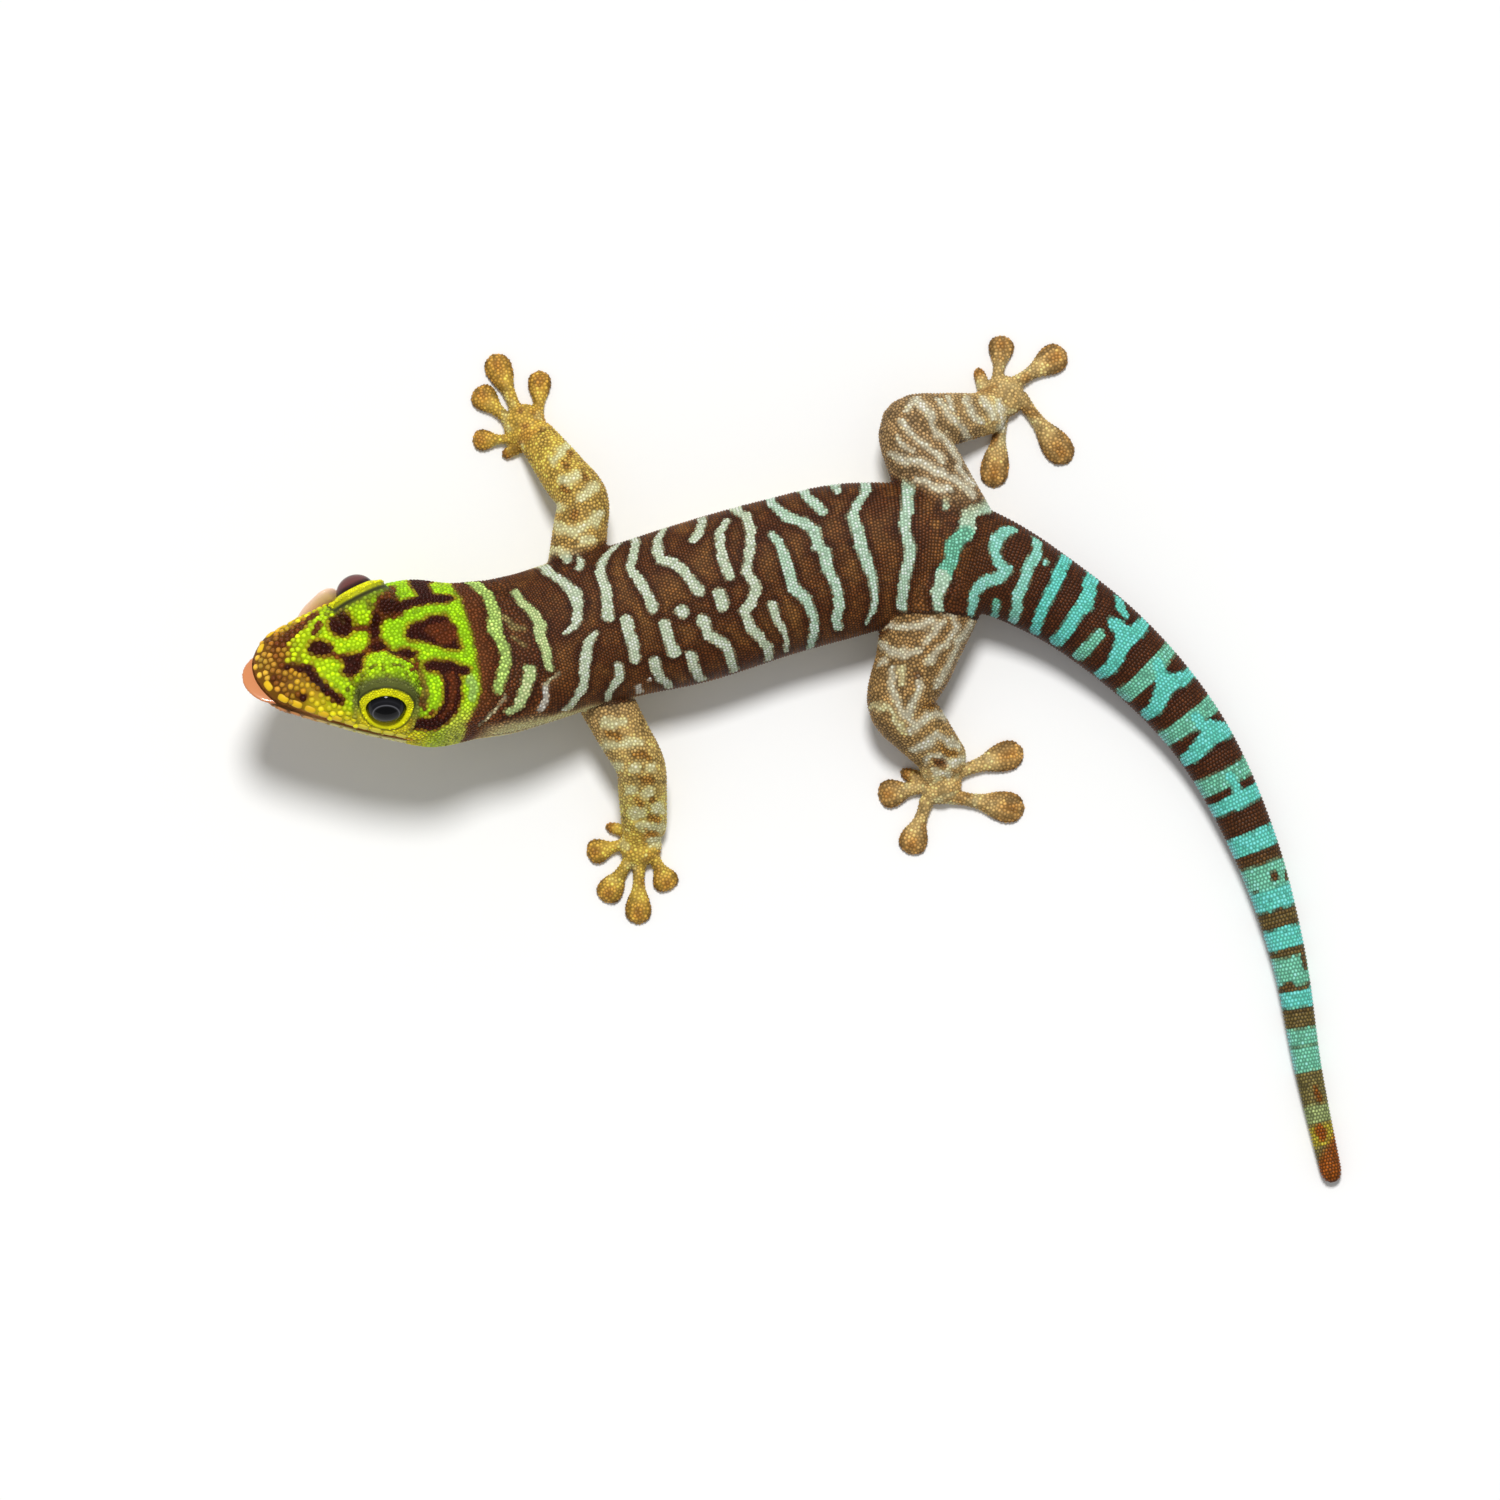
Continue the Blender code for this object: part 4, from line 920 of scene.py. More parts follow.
     (64.6, 2.3), (65.1, 4)),
    dot(TURQUOISE_SOFT, 0.3, 64.8, -2.3),
    (TURQUOISE, (0.6, 0.45), (66.2, -4.2), (66.2, -2.5), (66.4, -0.8), (66.4, 0.8), (66.8, 2.3),
     (67.2, 3.9)),
    (TURQUOISE, (0.6, 0.6), (68.7, -4.2), (68.8, -2.7), (69.3, -1.2), (69.1, 0), (69.2, 1.5),
     (69.2, 3.4)),
    (TURQUOISE, (0.5, 0.35), (71.3, -3.8), (71.7, -2.7), (72.3, -2.5)),
    (TURQUOISE, (0.5, 0.75), (73.9, -3.8), (73.8, -2.1), (73.5, -0.6)),
    (TURQUOISE, (0.7, 0.55), (73.5, -0.6), (73.9, 0.6), (74.2, 1.9), (73.9, 3.4)),
    (TURQUOISE, (0.45, 0.8), (71.9, -1.3), (73.2, -1.2)),
    (TURQUOISE_GREEN, (0.55, 0.55), (71.6, 0.4), (71.6, 1.6), (71.5, 3.2)),
    (TURQUOISE_GREEN, (0.6, 0.75), (76.7, -4), (76.7, -1), (76.8, 0.5), (76.7, 3)),
    (TURQUOISE, (0.5, 0.85), (79.1, -3.8), (79, -2.4), (78.6, -1.2), (78.2, -0.6)),
    (TURQUOISE, (0.85, 0.5), (78.2, -0.6), (78.6, 0.2), (79.2, 1.3), (79.2, 3)),
    (TURQUOISE, (0.5, 0.5), (76.8, -1.2), (78, -0.5)),
    (TURQUOISE_GREEN, (0.7, 0.8), (81.9, -3.4), (81.9, 3.2)),
    (TURQUOISE, (0.5, 0.9), (84.4, -3.8), (84.1, -2.3), (83.6, -1)),
    (TURQUOISE, (0.9, 0.5), (83.6, -1), (84, 0), (84.4, 1.3), (84.4, 2.7)),
    (TURQUOISE, (0.45, 0.45), (81.9, -0.7), (83.6, -0.7)),
    band(TURQUOISE_GREEN, 0.75, 87.3, 3),
    band(TURQUOISE, 0.65, 89.4, 3),
    (TURQUOISE, (0.4, 0.4), (87.3, -0.5), (89.4, -0.5)),
    band(TURQUOISE, 0.85, 92.9, 2.6),
    band(TURQUOISE_GREEN, 1.05, 95.9, 2.6),
    dot(TAIL_BROWN, 0.4, 96.1, -0.7),
    dot(TAIL_BROWN, 0.4, 97.1, 1.3),
    dot(TAIL_BROWN, 0.4, 96.4, -2.1),
    band(TURQUOISE, 0.9, 97.8, 2.4),
    band(TURQUOISE, 0.9, 101.1, 2.2),
    band(TURQUOISE_GREEN, 1.2, 103.8, 2.2),
    (TAIL_BROWN, (0.4, 0.4), (102.4, -1.6), (103.5, -1.5)),
    (TAIL_BROWN, (0.35, 0.35), (104.9, 0.4), (105.2, 1.5)),
    band(TURQUOISE, 0.75, 106.1, 2),
    band(TURQUOISE_GREEN, 0.75, 109.2, 2),
    band(TURQUOISE_GREEN, 1.0, 111.0, 2),
    (TIP_BROWN, (0.2, 0.28), (113.4, -0.3), (114.4, -0.35)),
    band(TAIL_GREY_GREEN, 0.75, 115.5, 2),
    band(TIP_YELLOW, 0.85, 117.3, 2),
    (TIP_ORANGE, (0.5, 0.4), (116.9, 0.2), (117.4, 0.1)),
)

# One unit of the photograph in millimetres, and where the frame's origin lies in it
PHOTO_UNIT = 0.0805
PHOTO_MIDDLE = (792.0, 759.5)

# Markings on the legs as seen from above, in units of the photograph from its corner: colour, half
# width, places along the stroke
LEG_MARKS = (
    # Front left leg
    (LEG_PALE, 4.5, (604, 722), (625, 724)),
    (LEG_PALE, 4.5, (600, 748), (615, 745), (640, 742)),
    (LEG_PALE, 5.2, (613, 766), (619, 767)),
    (LEG_PALE, 5.9, (633, 770), (637, 770)),
    (LEG_PALE, 5.2, (652, 768)),
    (LEG_PALE, 5.2, (630, 790), (634, 791)),
    (LEG_PALE, 6.5, (648, 793)),
    (LEG_PALE, 6.5, (636, 812), (641, 812)),
    (LEG_PALE, 6.5, (658, 809)),
    (LEG_PALE, 5.2, (640, 826), (660, 827)),
    (LEG_PALE, 5.2, (650, 841), (656, 841)),
    (LEG_PALE, 3.9, (587, 730)),
    (LEG_BROWN, 4.5, (610, 733), (616, 737)),
    (LEG_BROWN, 4.5, (636, 755), (646, 756)),
    (LEG_BROWN, 4, (643, 780), (650, 781)),
    (LEG_BROWN, 4, (640, 803)),
    (LEG_BROWN, 4, (652, 801)),
    (LEG_BROWN, 4, (650, 818), (656, 819)),
    (LEG_BROWN, 4, (648, 833), (654, 834)),
    # Front right leg
    (LEG_PALE, 5.2, (553, 553), (578, 558)),
    (LEG_PALE, 5.2, (583, 543), (594, 540)),
    (LEG_PALE, 5.2, (557, 528), (575, 532), (590, 524), (600, 515)),
    (LEG_PALE, 5.2, (560, 508)),
    (LEG_PALE, 5.2, (580, 498), (595, 487)),
    (LEG_PALE, 5.2, (563, 483), (576, 476)),
    (LEG_PALE, 5.2, (555, 460), (565, 448)),
    (FOOT_OCHRE, 4, (575, 515)),
    (FOOT_OCHRE, 4, (565, 490)),
    (FOOT_OCHRE, 4, (585, 478)),
    (FOOT_OCHRE, 4, (567, 465)),
    (FOOT_OCHRE, 4, (570, 455)),
    (BROWN_LIGHT, 3, (520, 442)),
    (BROWN_LIGHT, 3, (524, 425)),
    (BROWN_LIGHT, 3, (519, 411)),
    (BROWN_LIGHT, 3, (540, 430)),
    # Hind right leg
    (THIGH_PALE, 3.6, (901, 423), (912, 434), (926, 446), (943, 461)),
    (THIGH_PALE, 3.8, (890, 454), (903, 461), (921, 464), (943, 474), (959, 483), (974, 496)),
    (THIGH_PALE, 3.4, (896, 440), (904, 447), (912, 451)),
    (THIGH_PALE, 3.8, (915, 479), (926, 484), (948, 491)),
    (THIGH_PALE, 3.8, (919, 403), (930, 414), (935, 430), (946, 441), (957, 457), (962, 472),
     (972, 484)),
    (THIGH_PALE, 3.4, (937, 401), (948, 414), (963, 428), (968, 439)),
    (THIGH_PALE, 3.4, (948, 397), (952, 408)),
    (THIGH_PALE, 3.6, (966, 399), (970, 412), (981, 423)),
    (THIGH_PALE, 3.6, (981, 399), (990, 408), (994, 419)),
    (THIGH_PALE, 3.4, (999, 403), (1003, 419), (1001, 430)),
    (THIGH_PALE, 3.2, (905, 411), (910, 404), (918, 399)),
    (BROWN_LIGHT, 3.5, (968, 447), (995, 437)),
    # Hind left leg
    (THIGH_PALE, 3.8, (884, 623), (900, 629), (916, 628), (933, 623)),
    (THIGH_PALE, 4.0, (880, 642), (889, 651), (904, 654), (918, 650)),
    (THIGH_PALE, 3.4, (924, 642), (935, 632), (942, 621)),
    (THIGH_PALE, 3.4, (944, 612), (953, 617), (956, 628), (947, 641), (935, 654), (927, 663)),
    (THIGH_PALE, 3.4, (971, 619), (967, 630), (958, 641), (953, 657), (944, 672), (935, 686)),
    (THIGH_PALE, 3.8, (920, 681), (922, 688), (913, 701), (909, 714)),
    (THIGH_PALE, 3.6, (893, 668), (889, 683), (896, 701), (904, 714), (913, 723)),
    (LEG_PALE, 3.4, (902, 668), (900, 683)),
    (LEG_PALE, 3.6, (873, 706), (887, 708), (896, 719), (904, 732)),
    (THIGH_PALE, 3.4, (879, 664), (884, 660)),
    (BROWN, 4, (918, 675)),
    (PALE_FLANK, 1.6, (918, 675)),
    (THIGH_PALE, 3.6, (911, 732), (922, 721), (935, 714), (944, 717)),
    (THIGH_PALE, 3.8, (913, 750), (927, 743), (935, 734), (949, 741), (958, 746)),
    (THIGH_PALE, 3.6, (927, 759), (933, 754), (949, 763), (964, 759), (969, 754)),
    (LEG_BROWN, 3.4, (942, 750), (955, 753)),
    (LEG_BROWN, 3.2, (925, 708), (935, 704)),
    (THIGH_PALE, 3.4, (935, 772), (949, 774)),
    (RED_BROWN, 3.5, (938, 764), (943, 763)),
    (LEG_PALE, 3.9, (937, 779)),
)
# Where the trunk's edge crosses the left legs as seen from above, and how dark the painted shade in the
# crease is
SEAMS = (
    (((566, 712), (593, 707), (627, 702), (652, 696)), 0.6),
    (((868, 628), (880, 620), (895, 615), (915, 613), (945, 613), (966, 616), (980, 621)), 0.9),
)
# Colours of each leg at the trunk, past the knee or elbow, and of its foot and toe pads
LEG_COLOURS = (
    ((182, 144, 82), (218, 180, 78), (206, 166, 70), (182, 138, 54)),
    ((180, 144, 94), (214, 186, 94), (208, 172, 74), (190, 148, 58)),
    ((150, 118, 80), (172, 140, 92), (196, 164, 104), (172, 132, 74)),
    ((156, 120, 74), (174, 140, 86), (196, 164, 104), (172, 132, 74)),
)


def eased(values, start, end):
    """A smooth step from 0 at start to 1 at end."""
    part = np.clip((values - start) / (end - start), 0, 1)
    return part * part * (3 - 2 * part)


def blend(colours, other, share):
    """Mix another colour in, by a share for each place."""
    share = np.asarray(share, float)[:, None]
    return colours * (1 - share) + np.asarray(other, float) * share


def painted(colour, count):
    """One colour for this many places."""
    return np.tile(np.array(colour, float), (count, 1))


def ring_cover(radius, middle, half, top=1.0):
    """How strongly a soft ring round an axis covers each place."""
    return np.clip(top - np.abs(radius - middle) / half, 0, 1)


def photo_places(points):
    """Where places lie in the photograph, to the right and down from its corner."""
    return points[:, 0] / PHOTO_UNIT + PHOTO_MIDDLE[0], PHOTO_MIDDLE[1] - points[:, 1] / PHOTO_UNIT


def patch_cover(back, arc, outline, soft):
    """How strongly a patch with this outline covers each place, from 0 to 1."""
    corners = np.array(outline, float)
    inside = np.zeros(len(back), bool)
    away = np.full(len(back), np.inf)
    for start, end in zip(corners, np.roll(corners, -1, axis=0)):
        step = end - start
        along = np.clip(((back - start[0]) * step[0] + (arc - start[1]) * step[1]) / (step @ step), 0, 1)
        away = np.minimum(away, np.hypot(back - start[0] - along * step[0],
                                         arc - start[1] - along * step[1]))
        if start[1] != end[1]:
            crosses = (start[1] > arc) != (end[1] > arc)
            inside ^= crosses & (back < step[0] * (arc - start[1]) / step[1] + start[0])
    return np.clip(np.where(inside, away, -away) / soft + 0.5, 0, 1)


def mark_rows(half, places):
    """A stroke's places, each with its half width."""
    steps = np.linspace(half[0], half[1], len(places))
    return [(a, b, h) for (a, b), h in zip(places, steps)]


# How far from an eye's axis the yellow of its lid reaches below and above, for each side
LID_WIDTH = {1: (1.84, 2.2), -1: (2.4, 2.4)}


def lid_edge(flat, radius, side):
    """Where the yellow of a lid ends in each direction, and how far up that direction points."""
    up = np.array(head_axes()[2])
    high = eased(flat @ up / np.maximum(radius, 1e-6), -0.7, 0.3)
    return LID_WIDTH[side][0] + (LID_WIDTH[side][1] - LID_WIDTH[side][0]) * high, high


# Round some marks the ground is another colour: this colour, how far it reaches, how softly it
# ends and how strong it is
HALOS = {
    PALE: ((58, 26, 10), 0.45, 0.5, 0.6),
    PALE_AQUA: ((58, 26, 10), 0.45, 0.5, 0.6),
    NECK_PALE: ((66, 30, 10), 0.4, 0.5, 0.6),
    NECK_PALE_2: ((62, 28, 10), 0.4, 0.5, 0.6),
    TURQUOISE: ((62, 28, 12), 0.4, 0.4, 0.5),
    MAROON: ((128, 70, 12), 0.17, 0.3, 0.75),
}


def with_halos(colours, back, arc, marks):
    """Darken the ground round the marks that have a halo."""
    for colour, half, *places in marks:
        if colour not in HALOS or half is None:
            continue
        other, wider, soft, strength = HALOS[colour]
        cover = stroke_cover(back, arc, mark_rows([h + wider for h in half], places), soft)
        colours = blend(colours, other, cover * strength)
    return colours


def with_marks(colours, back, arc, marks, soft):
    """Lay the marks over the colours."""
    for colour, half, *places in marks:
        rows = np.array(places, float)
        reach = 0.5 if half is None else max(half) + 0.3
        near = ((back > rows[:, 0].min() - reach) & (back < rows[:, 0].max() + reach)
                & (arc > rows[:, 1].min() - reach) & (arc < rows[:, 1].max() + reach))
        if not near.any():
            continue
        if half is None:
            cover = patch_cover(back[near], arc[near], places, soft)
            other, wider, halo_soft, strength = HALOS.get(colour, (colour, 0, 1, 0))
            edge = patch_cover(back[near], arc[near], places, 2 * (wider + halo_soft))
            colours[near] = blend(colours[near], other, np.clip(edge * 2, 0, 1) * strength)
        else:
            cover = stroke_cover(back[near], arc[near], mark_rows(half, places), soft)
        colours[near] = blend(colours[near], colour, cover)
    return colours


# The head's colours end at this distance behind the snout, by the arc
HEAD_END = ((-5, -3, 0, 5, 6.5, 8), (17.1, 17.4, 17.5, 17.4, 17.0, 16.4))
# The belly starts at this share of the way round the side, by the distance behind the snout
BELLY_FROM = ((17, 20, 24, 28, 34, 60), (0.40, 0.38, 0.375, 0.385, 0.5, 0.52))


def head_ground(back, arc, flank, over_lip, large, small):
    """Lime on the head, golden on the snout, yellow at the lips and paler on the cheeks."""
    ground = painted(LIME, len(back))
    ground = blend(ground, LIME_CROWN, eased(back, 8, 12) * (0.75 + 0.25 * large))
    ground = blend(ground, LIME_SNOUT, 1 - eased(back, 4, 7))
    gold_end = 2.8 + 0.75 * np.clip(np.abs(arc) - 0.8, 0, 2.8) + 0.5 * small
    ground = blend(ground, SNOUT_GOLD, 1 - eased(back - gold_end, -0.5, 0.5))
    ground = blend(ground, RED_BROWN, (1 - eased(back, 2.2, 4.4)) * np.clip(2.5 * small - 0.2, 0, 0.75))
    ground = blend(ground, SNOUT_TIP, (1 - eased(back, 0.7, 1.9)) * 0.75)
    at_lip = (1 - eased(over_lip, 0.9, 2.0)) * (1 - eased(back, 12, 15)) * eased(back, 1.6, 4.2)
    ground = blend(ground, YELLOW, at_lip * 0.9)
    return blend(ground, CHEEK_PALE, eased(back, 12.5, 15.5) * eased(flank, 0.26, 0.42))


def with_belly(colours, back, flank, large):
    """The pale belly, yellower at the neck, with painted shade in its creases there."""
    belly = eased(flank + 0.05 * large - np.interp(back, *BELLY_FROM), 0.0, 0.13)
    belly *= eased(back, 17, 20) * (1 - eased(back, 58, 70))
    colours = blend(colours, BELLY, belly * 0.9)
    colours = blend(colours, BELLY_FRONT, belly * (1 - eased(back, 24, 30)) * 0.6)
    # Painted shade in creases of the throat
    creases = np.clip(np.sin((flank - 0.4) * 44 + 0.35 * back) * 2 - 1.1, 0, 0.8)
    return blend(colours, BELLY_CREASE_SHADE, creases * (1 - eased(back, 27, 31)) * belly * 0.8)


def with_tail(colours, back, arc, half):
    """Olive towards the end of the tail and under it, a brown tip, and a painted bluish sheen on the green
    parts of the left side.
    """
    red, green = colours[:, 0], colours[:, 1]
    brown_band = (back > 88) & (back < 111) & (red > green + 12)
    colours = blend(colours, TAIL_OLIVE, brown_band * eased(back, 88, 102) * 0.5)
    colours = blend(colours, TAIL_TIP, eased(back - 0.9 * arc, 117.9, 118.9) * 0.92)
    under = eased(np.abs(arc) / half, 0.62, 0.85) * eased(back, 58, 70)
    colours = blend(colours, TAIL_OLIVE, under * 0.55)
    # Painted bluish sheen on green parts of the tail's left side
    bluish = (colours[:, 1] > colours[:, 0] + 30) & (back > 58)
    return blend(colours, TAIL_SHEEN_BLUE, bluish * eased(arc / half, 0.22, 0.5) * 0.5)


def with_jaws(colours, points, back):
    """The lower jaw, the throat and the line along the upper lip."""
    behind, over, over_lip = lip_measures(points)
    jaw_line = np.where(back < MOUTH_CORNER, mouth_height(behind), -3.4 - (back - MOUTH_CORNER) * 0.05)
    on_head = 1 - eased(back, 17, 21)
    jaw = eased(jaw_line - over, -0.05, 0.25) * on_head
    throat = eased(jaw_line - over, 0.5, 1.6) * on_head
    colours = blend(colours, JAW, jaw * 0.9)
    colours = blend(colours, JAW_FRONT, jaw * (1 - eased(back, 3.5, 7.5)) * 0.8)
    colours = blend(colours, THROAT, throat * eased(back, 1.0, 5.0))
    line = (1 - eased(over_lip, 0.05, 0.14)) * eased(over_lip, -0.5, -0.2) * (1 - eased(back, 11.5, 12.5))
    colours = blend(colours, LIP_LINE, line)
    return blend(colours, LIP_FRONT, line * (1 - eased(back, 4.5, 6.5)))


def trunk_colours(points, back, arc):
    """Head, trunk and tail."""
    back = back + 0.1 * noise(points, 0.8, 11) + 0.09 * noise(points, 0.32, 15)
    arc = arc + 0.1 * noise(points, 0.8, 12) + 0.09 * noise(points, 0.32, 16)
    half = np.interp(back, NET_BACK, HALF_ROUND)
    flank = np.abs(arc) / half
    large, small = noise(points, 1.7, 13), noise(points, 0.5, 14)
    colours = painted(BROWN, len(points))
    colours = blend(colours, BROWN_LIGHT, np.clip(0.36 + 0.5 * large + 0.3 * small, 0, 1))
    colours = blend(colours, TAIL_BROWN, eased(back, 56, 63))
    colours = blend(colours, TAIL_OLIVE, 0.55 * eased(back, 90, 102) + 0.45 * eased(back, 110, 113))
    colours = blend(colours, NAPE_BROWN, 0.7 * (1 - eased(back, 18, 24)))
    ground = head_ground(back, arc, flank, lip_measures(points)[2], large, small)
    colours = blend(colours, ground, 1 - eased(back - np.interp(arc, *HEAD_END), -0.25, 0.25))
    colours = with_halos(colours, back, arc, MARKS)
    colours = with_marks(colours, back, arc, MARKS, 0.2)
    colours = with_belly(colours, back, flank, large)
    colours = with_tail(colours, back, arc, half)
    return with_jaws(colours, points, back)


# Patches on palm and toes: colour, size, seed of the noise, how much is left out, the share of a
# toe where they fade, and how strong they are
FOOT_PATCHES = (
    (FOOT_OCHRE, 0.9, 25, 0.1, 0.5, 0.45),
    (LEG_PALE, 0.7, 26, 0.2, 0.4, 0.5),
)


def leg_colours(points):
    """The legs and feet, by the length of leg they are on and their marks seen from above."""
    which, share, away = leg_measures(points)
    number, length = SEGMENTS[which, :2].T.astype(int)
    at_trunk, past_bend, foot_colour, pad_colour = np.array(LEG_COLOURS, float)[number].swapaxes(0, 1)
    upper, lower, toes = length == 0, length == 1, length > 2
    down = np.clip(np.where(upper, share * 0.5, np.where(lower, 0.5 + share * 0.8, 2)), 0, 1)
    colours = blend(at_trunk, past_bend, down)
    foot = eased(np.where(lower, share, np.where(upper, 0, 1)), 0.75, 1.0)
    colours = blend(colours, foot_colour, foot)
    colours = blend(colours, pad_colour, toes * eased(share, 0.5, 0.75) * eased(away, 0.25, 0.8) * 0.8)
    rim = toes * eased(share, 0.45, 0.7) * eased(-points[:, 2], -0.75, -0.35)
    colours = blend(colours, TOE_RIM, rim * 0.5)
    middle = toes * eased(share, 0.55, 0.8) * (1 - eased(share, 0.86, 1.0))
    colours = blend(colours, FOOT_OCHRE, middle * (1 - eased(away, 0.3, 0.75)) * 0.75)
    waves = np.cos((away - 0.42) * 2 * np.pi / 0.84) * toes * eased(share, 0.45, 0.7)
    colours = colours * (1 + 0.13 * waves[:, None])
    mottle = np.clip(0.5 * noise(points, 0.8, 21) + 0.5 * noise(points, 0.35, 22), -1, 1)
    colours = colours * (1 + 0.24 * mottle[:, None])
    for colour, size, seed, less, fade, much in FOOT_PATCHES:
        patches = np.clip(1.8 * noise(points, size, seed) - less, 0, 1) * (length > 1)
        colours = blend(colours, colour, patches * (1 - eased(share, fade, fade + 0.3)) * much)
    across, down = photo_places(points)
    across = across + 3.0 * noise(points, 0.6, 23)
    down = down + 3.0 * noise(points, 0.6, 24)
    marks = [(colour, (half, half), *places) for colour, half, *places in LEG_MARKS]
    soft = with_marks(colours.copy(), across, down, marks, 7.0)
    firm = with_marks(colours.copy(), across, down, marks, 3.5)
    colours = colours * 0.2 + 0.5 * soft + 0.3 * firm
    under = eased(0.9 - points[:, 2], 0.0, 0.6) * (length < 2)
    return blend(colours, BELLY, under * 0.5)


def leg_cover(points, back, out):
    """How much of a leg each place is, and how dark the painted shade in the crease at the trunk's edge is
    there.
    """
    leg = eased(out, 0.1, 0.9) * (back > LEGS_FROM)
    across, down = photo_places(points)
    crease = np.zeros(len(points))
    for seam, deep in SEAMS:
        rows = np.array(seam, float)
        under = down - np.interp(across, rows[:, 0], rows[:, 1])
        here = (across > rows[0, 0]) & (across < rows[-1, 0]) & (under > -60) & (under < 12)
        past = np.where(under > 0, np.maximum(leg, eased(out, 0.02, 0.1)), 0) * eased(under, -1, 1)
        leg = np.where(here, past, leg)
        # Painted shade along the crease
        cover = stroke_cover(across, down, [(*place, 1.2) for place in seam], 2.4)
        crease = np.maximum(crease, cover * deep * (out > 0.0))
    return leg, crease


def with_lids(colours, points, side, speckle):
    """The yellow lids of one eye, olive skin with painted shade in the folds round them and on the upper
    outer face of the lid ring, painted shade in the crease at the lids' edge and in the socket, and the
    speckled brow.
    """
    height, radius, flat = eye_measures(points, side)
    near = (height > -1.0) & (radius < 4.2)
    above = eased(flat @ np.array(head_axes()[2]), -0.6, 0.6)
    # Olive skin round the eye, darkened as painted shade in the folds
    folds = np.maximum(ring_cover(radius, 2.5, 0.25, 1.2), 0.6 * ring_cover(radius, 3.05, 0.12) * above)
    colours = blend(colours, OLIVE_FOLD_SHADE, folds * near * eased(height, -0.9, 0.1) * 0.85)
    brow = ring_cover(radius, 3.0, 0.5, 1.2) * above * near
    colours = blend(colours, BROW_BROWN, brow * speckle * 0.7)
    edge, high = lid_edge(flat, radius, side)
    beside = (height > 0.3) * (1 - eased(radius, 2.5, 2.7))
    colours = blend(colours, YELLOW, 0.8 * beside * (1 - high))
    # Painted shade on the upper outer face of the lid ring
    colours = blend(colours, OLIVE_FOLD_SHADE, 0.85 * beside * high)
    colours = blend(colours, LID_YELLOW, (1 - eased(radius - edge, -0.06, 0.06)) * (height > 0.3))
    # Painted shade in the crease at the outer edge of the yellow lids
    line = ring_cover(radius, edge + 0.1, 0.12) * (height > 0.1)
    colours = blend(colours, LID_CREASE_SHADE, line * 0.9)
    # Painted shade in the socket round the eye
    socket = (radius < EYE_RADIUS + 0.12) & (height > -0.6) & (height < LID_OUT + 0.05)
    return blend(colours, SOCKET_SHADE, socket)


def paint(points, back, arc, out):
    """The colour of every place on the animal, from 0 to 255."""
    colours = trunk_colours(points, back, arc)
    leg, crease = leg_cover(points, back, out)
    legs = leg > 0
    colours[legs] = blend(colours[legs], leg_colours(points[legs]), leg[legs])
    # Painted shade in the creases between trunk and left legs
    colours = blend(colours, CREASE_SHADE_BROWN, crease)
    speckle = np.clip(2.6 * noise(points, 0.4, 31) - 0.2, 0, 1)
    for side in (1, -1):
        colours = with_lids(colours, points, side, speckle)
    return np.clip(colours, 0, 255)


def make_skin(tree):
    """One skin over head, trunk, tail and legs, with folds, lids, mouth, nostrils and ears."""
    forward, left, up = head_axes()
    axes = (forward, left, up)
    back = np.r_[np.linspace(0.02, 22, 200), np.linspace(22.1, BODY_LENGTH - 0.1, 560)]
    turn = np.linspace(0, 2 * np.pi, 200, endpoint=False)
    pieces = [tube("body", body_rings(back, turn, -COAT))]
    for side in (1, -1):
        brow = eye_middle(side) - eye_axis(side) * BROW_IN
        pieces.append(ellipsoid("brow", brow, axes, (BROW_RADIUS - COAT,) * 3, 80))
        pieces.append(lid_ring("lids", side))
    for name, leg in LEGS.items():
        pieces += leg_pieces(name, leg)
    skin = remeshed(joined("skin", pieces), VOXEL)
    points = places_of(skin)
    behind, arc, out = body_measures(points, tree)
    lids = on_lids(points, 2.7)
    joint = np.clip(1.2 - np.abs(out - 0.5) / 2.2, 0, 1) * (out > -0.12) * (behind > 16)
    points = relaxed(skin, points, np.where(lids, 0.35, 1.0), SKIN_STEPS)
    points = relaxed(skin, points, np.where(lids, 0.0, joint), JOINT_STEPS)
    knees = np.zeros(len(points))
    for leg in LEGS.values():
        for place, reach, much in ((leg["bend"], 3.8, 0.55), (leg["wrist"], 2.6, 1.0)):
            away = np.linalg.norm(points - np.array(place), axis=1)
            knees = np.maximum(knees, much * np.clip(1.4 - away / reach, 0, 1))
    points = relaxed(skin, points, np.where(lids, 0.0, knees), KNEE_STEPS)
    put_places(skin, points)
    normals = normals_of(skin)
    depth = np.zeros(len(points))
    for deep, stroke in FOLDS:
        depth = np.maximum(depth, deep * stroke_cover(behind, arc, stroke, 0.35) * (np.abs(out) < 0.6))
    points = points - normals * depth[:, None]
    floor = COAT * 0.5
    points[:, 2] = np.maximum(points[:, 2], floor)
    put_places(skin, points)
    cut(skin, mouth_cutter())
    for side in (1, -1):
        cut(skin, turned_shape("socket", side, [(EYE_RADIUS + 0.03, -0.35), (EYE_RADIUS + 0.03, 3.2)]))
        nostril = head_point(NOSTRIL[0], side * NOSTRIL[1], NOSTRIL[2])
        cut(skin, ellipsoid("nostril", nostril, axes, (0.34, 0.34, 0.34), 24))
        ear = head_point(EAR[0], side * head_side(EAR[0], -EAR[1]), -EAR[1])
        cut(skin, ellipsoid("ear", ear, axes, (0.62, 0.8, 1.1), 32))
    return skin


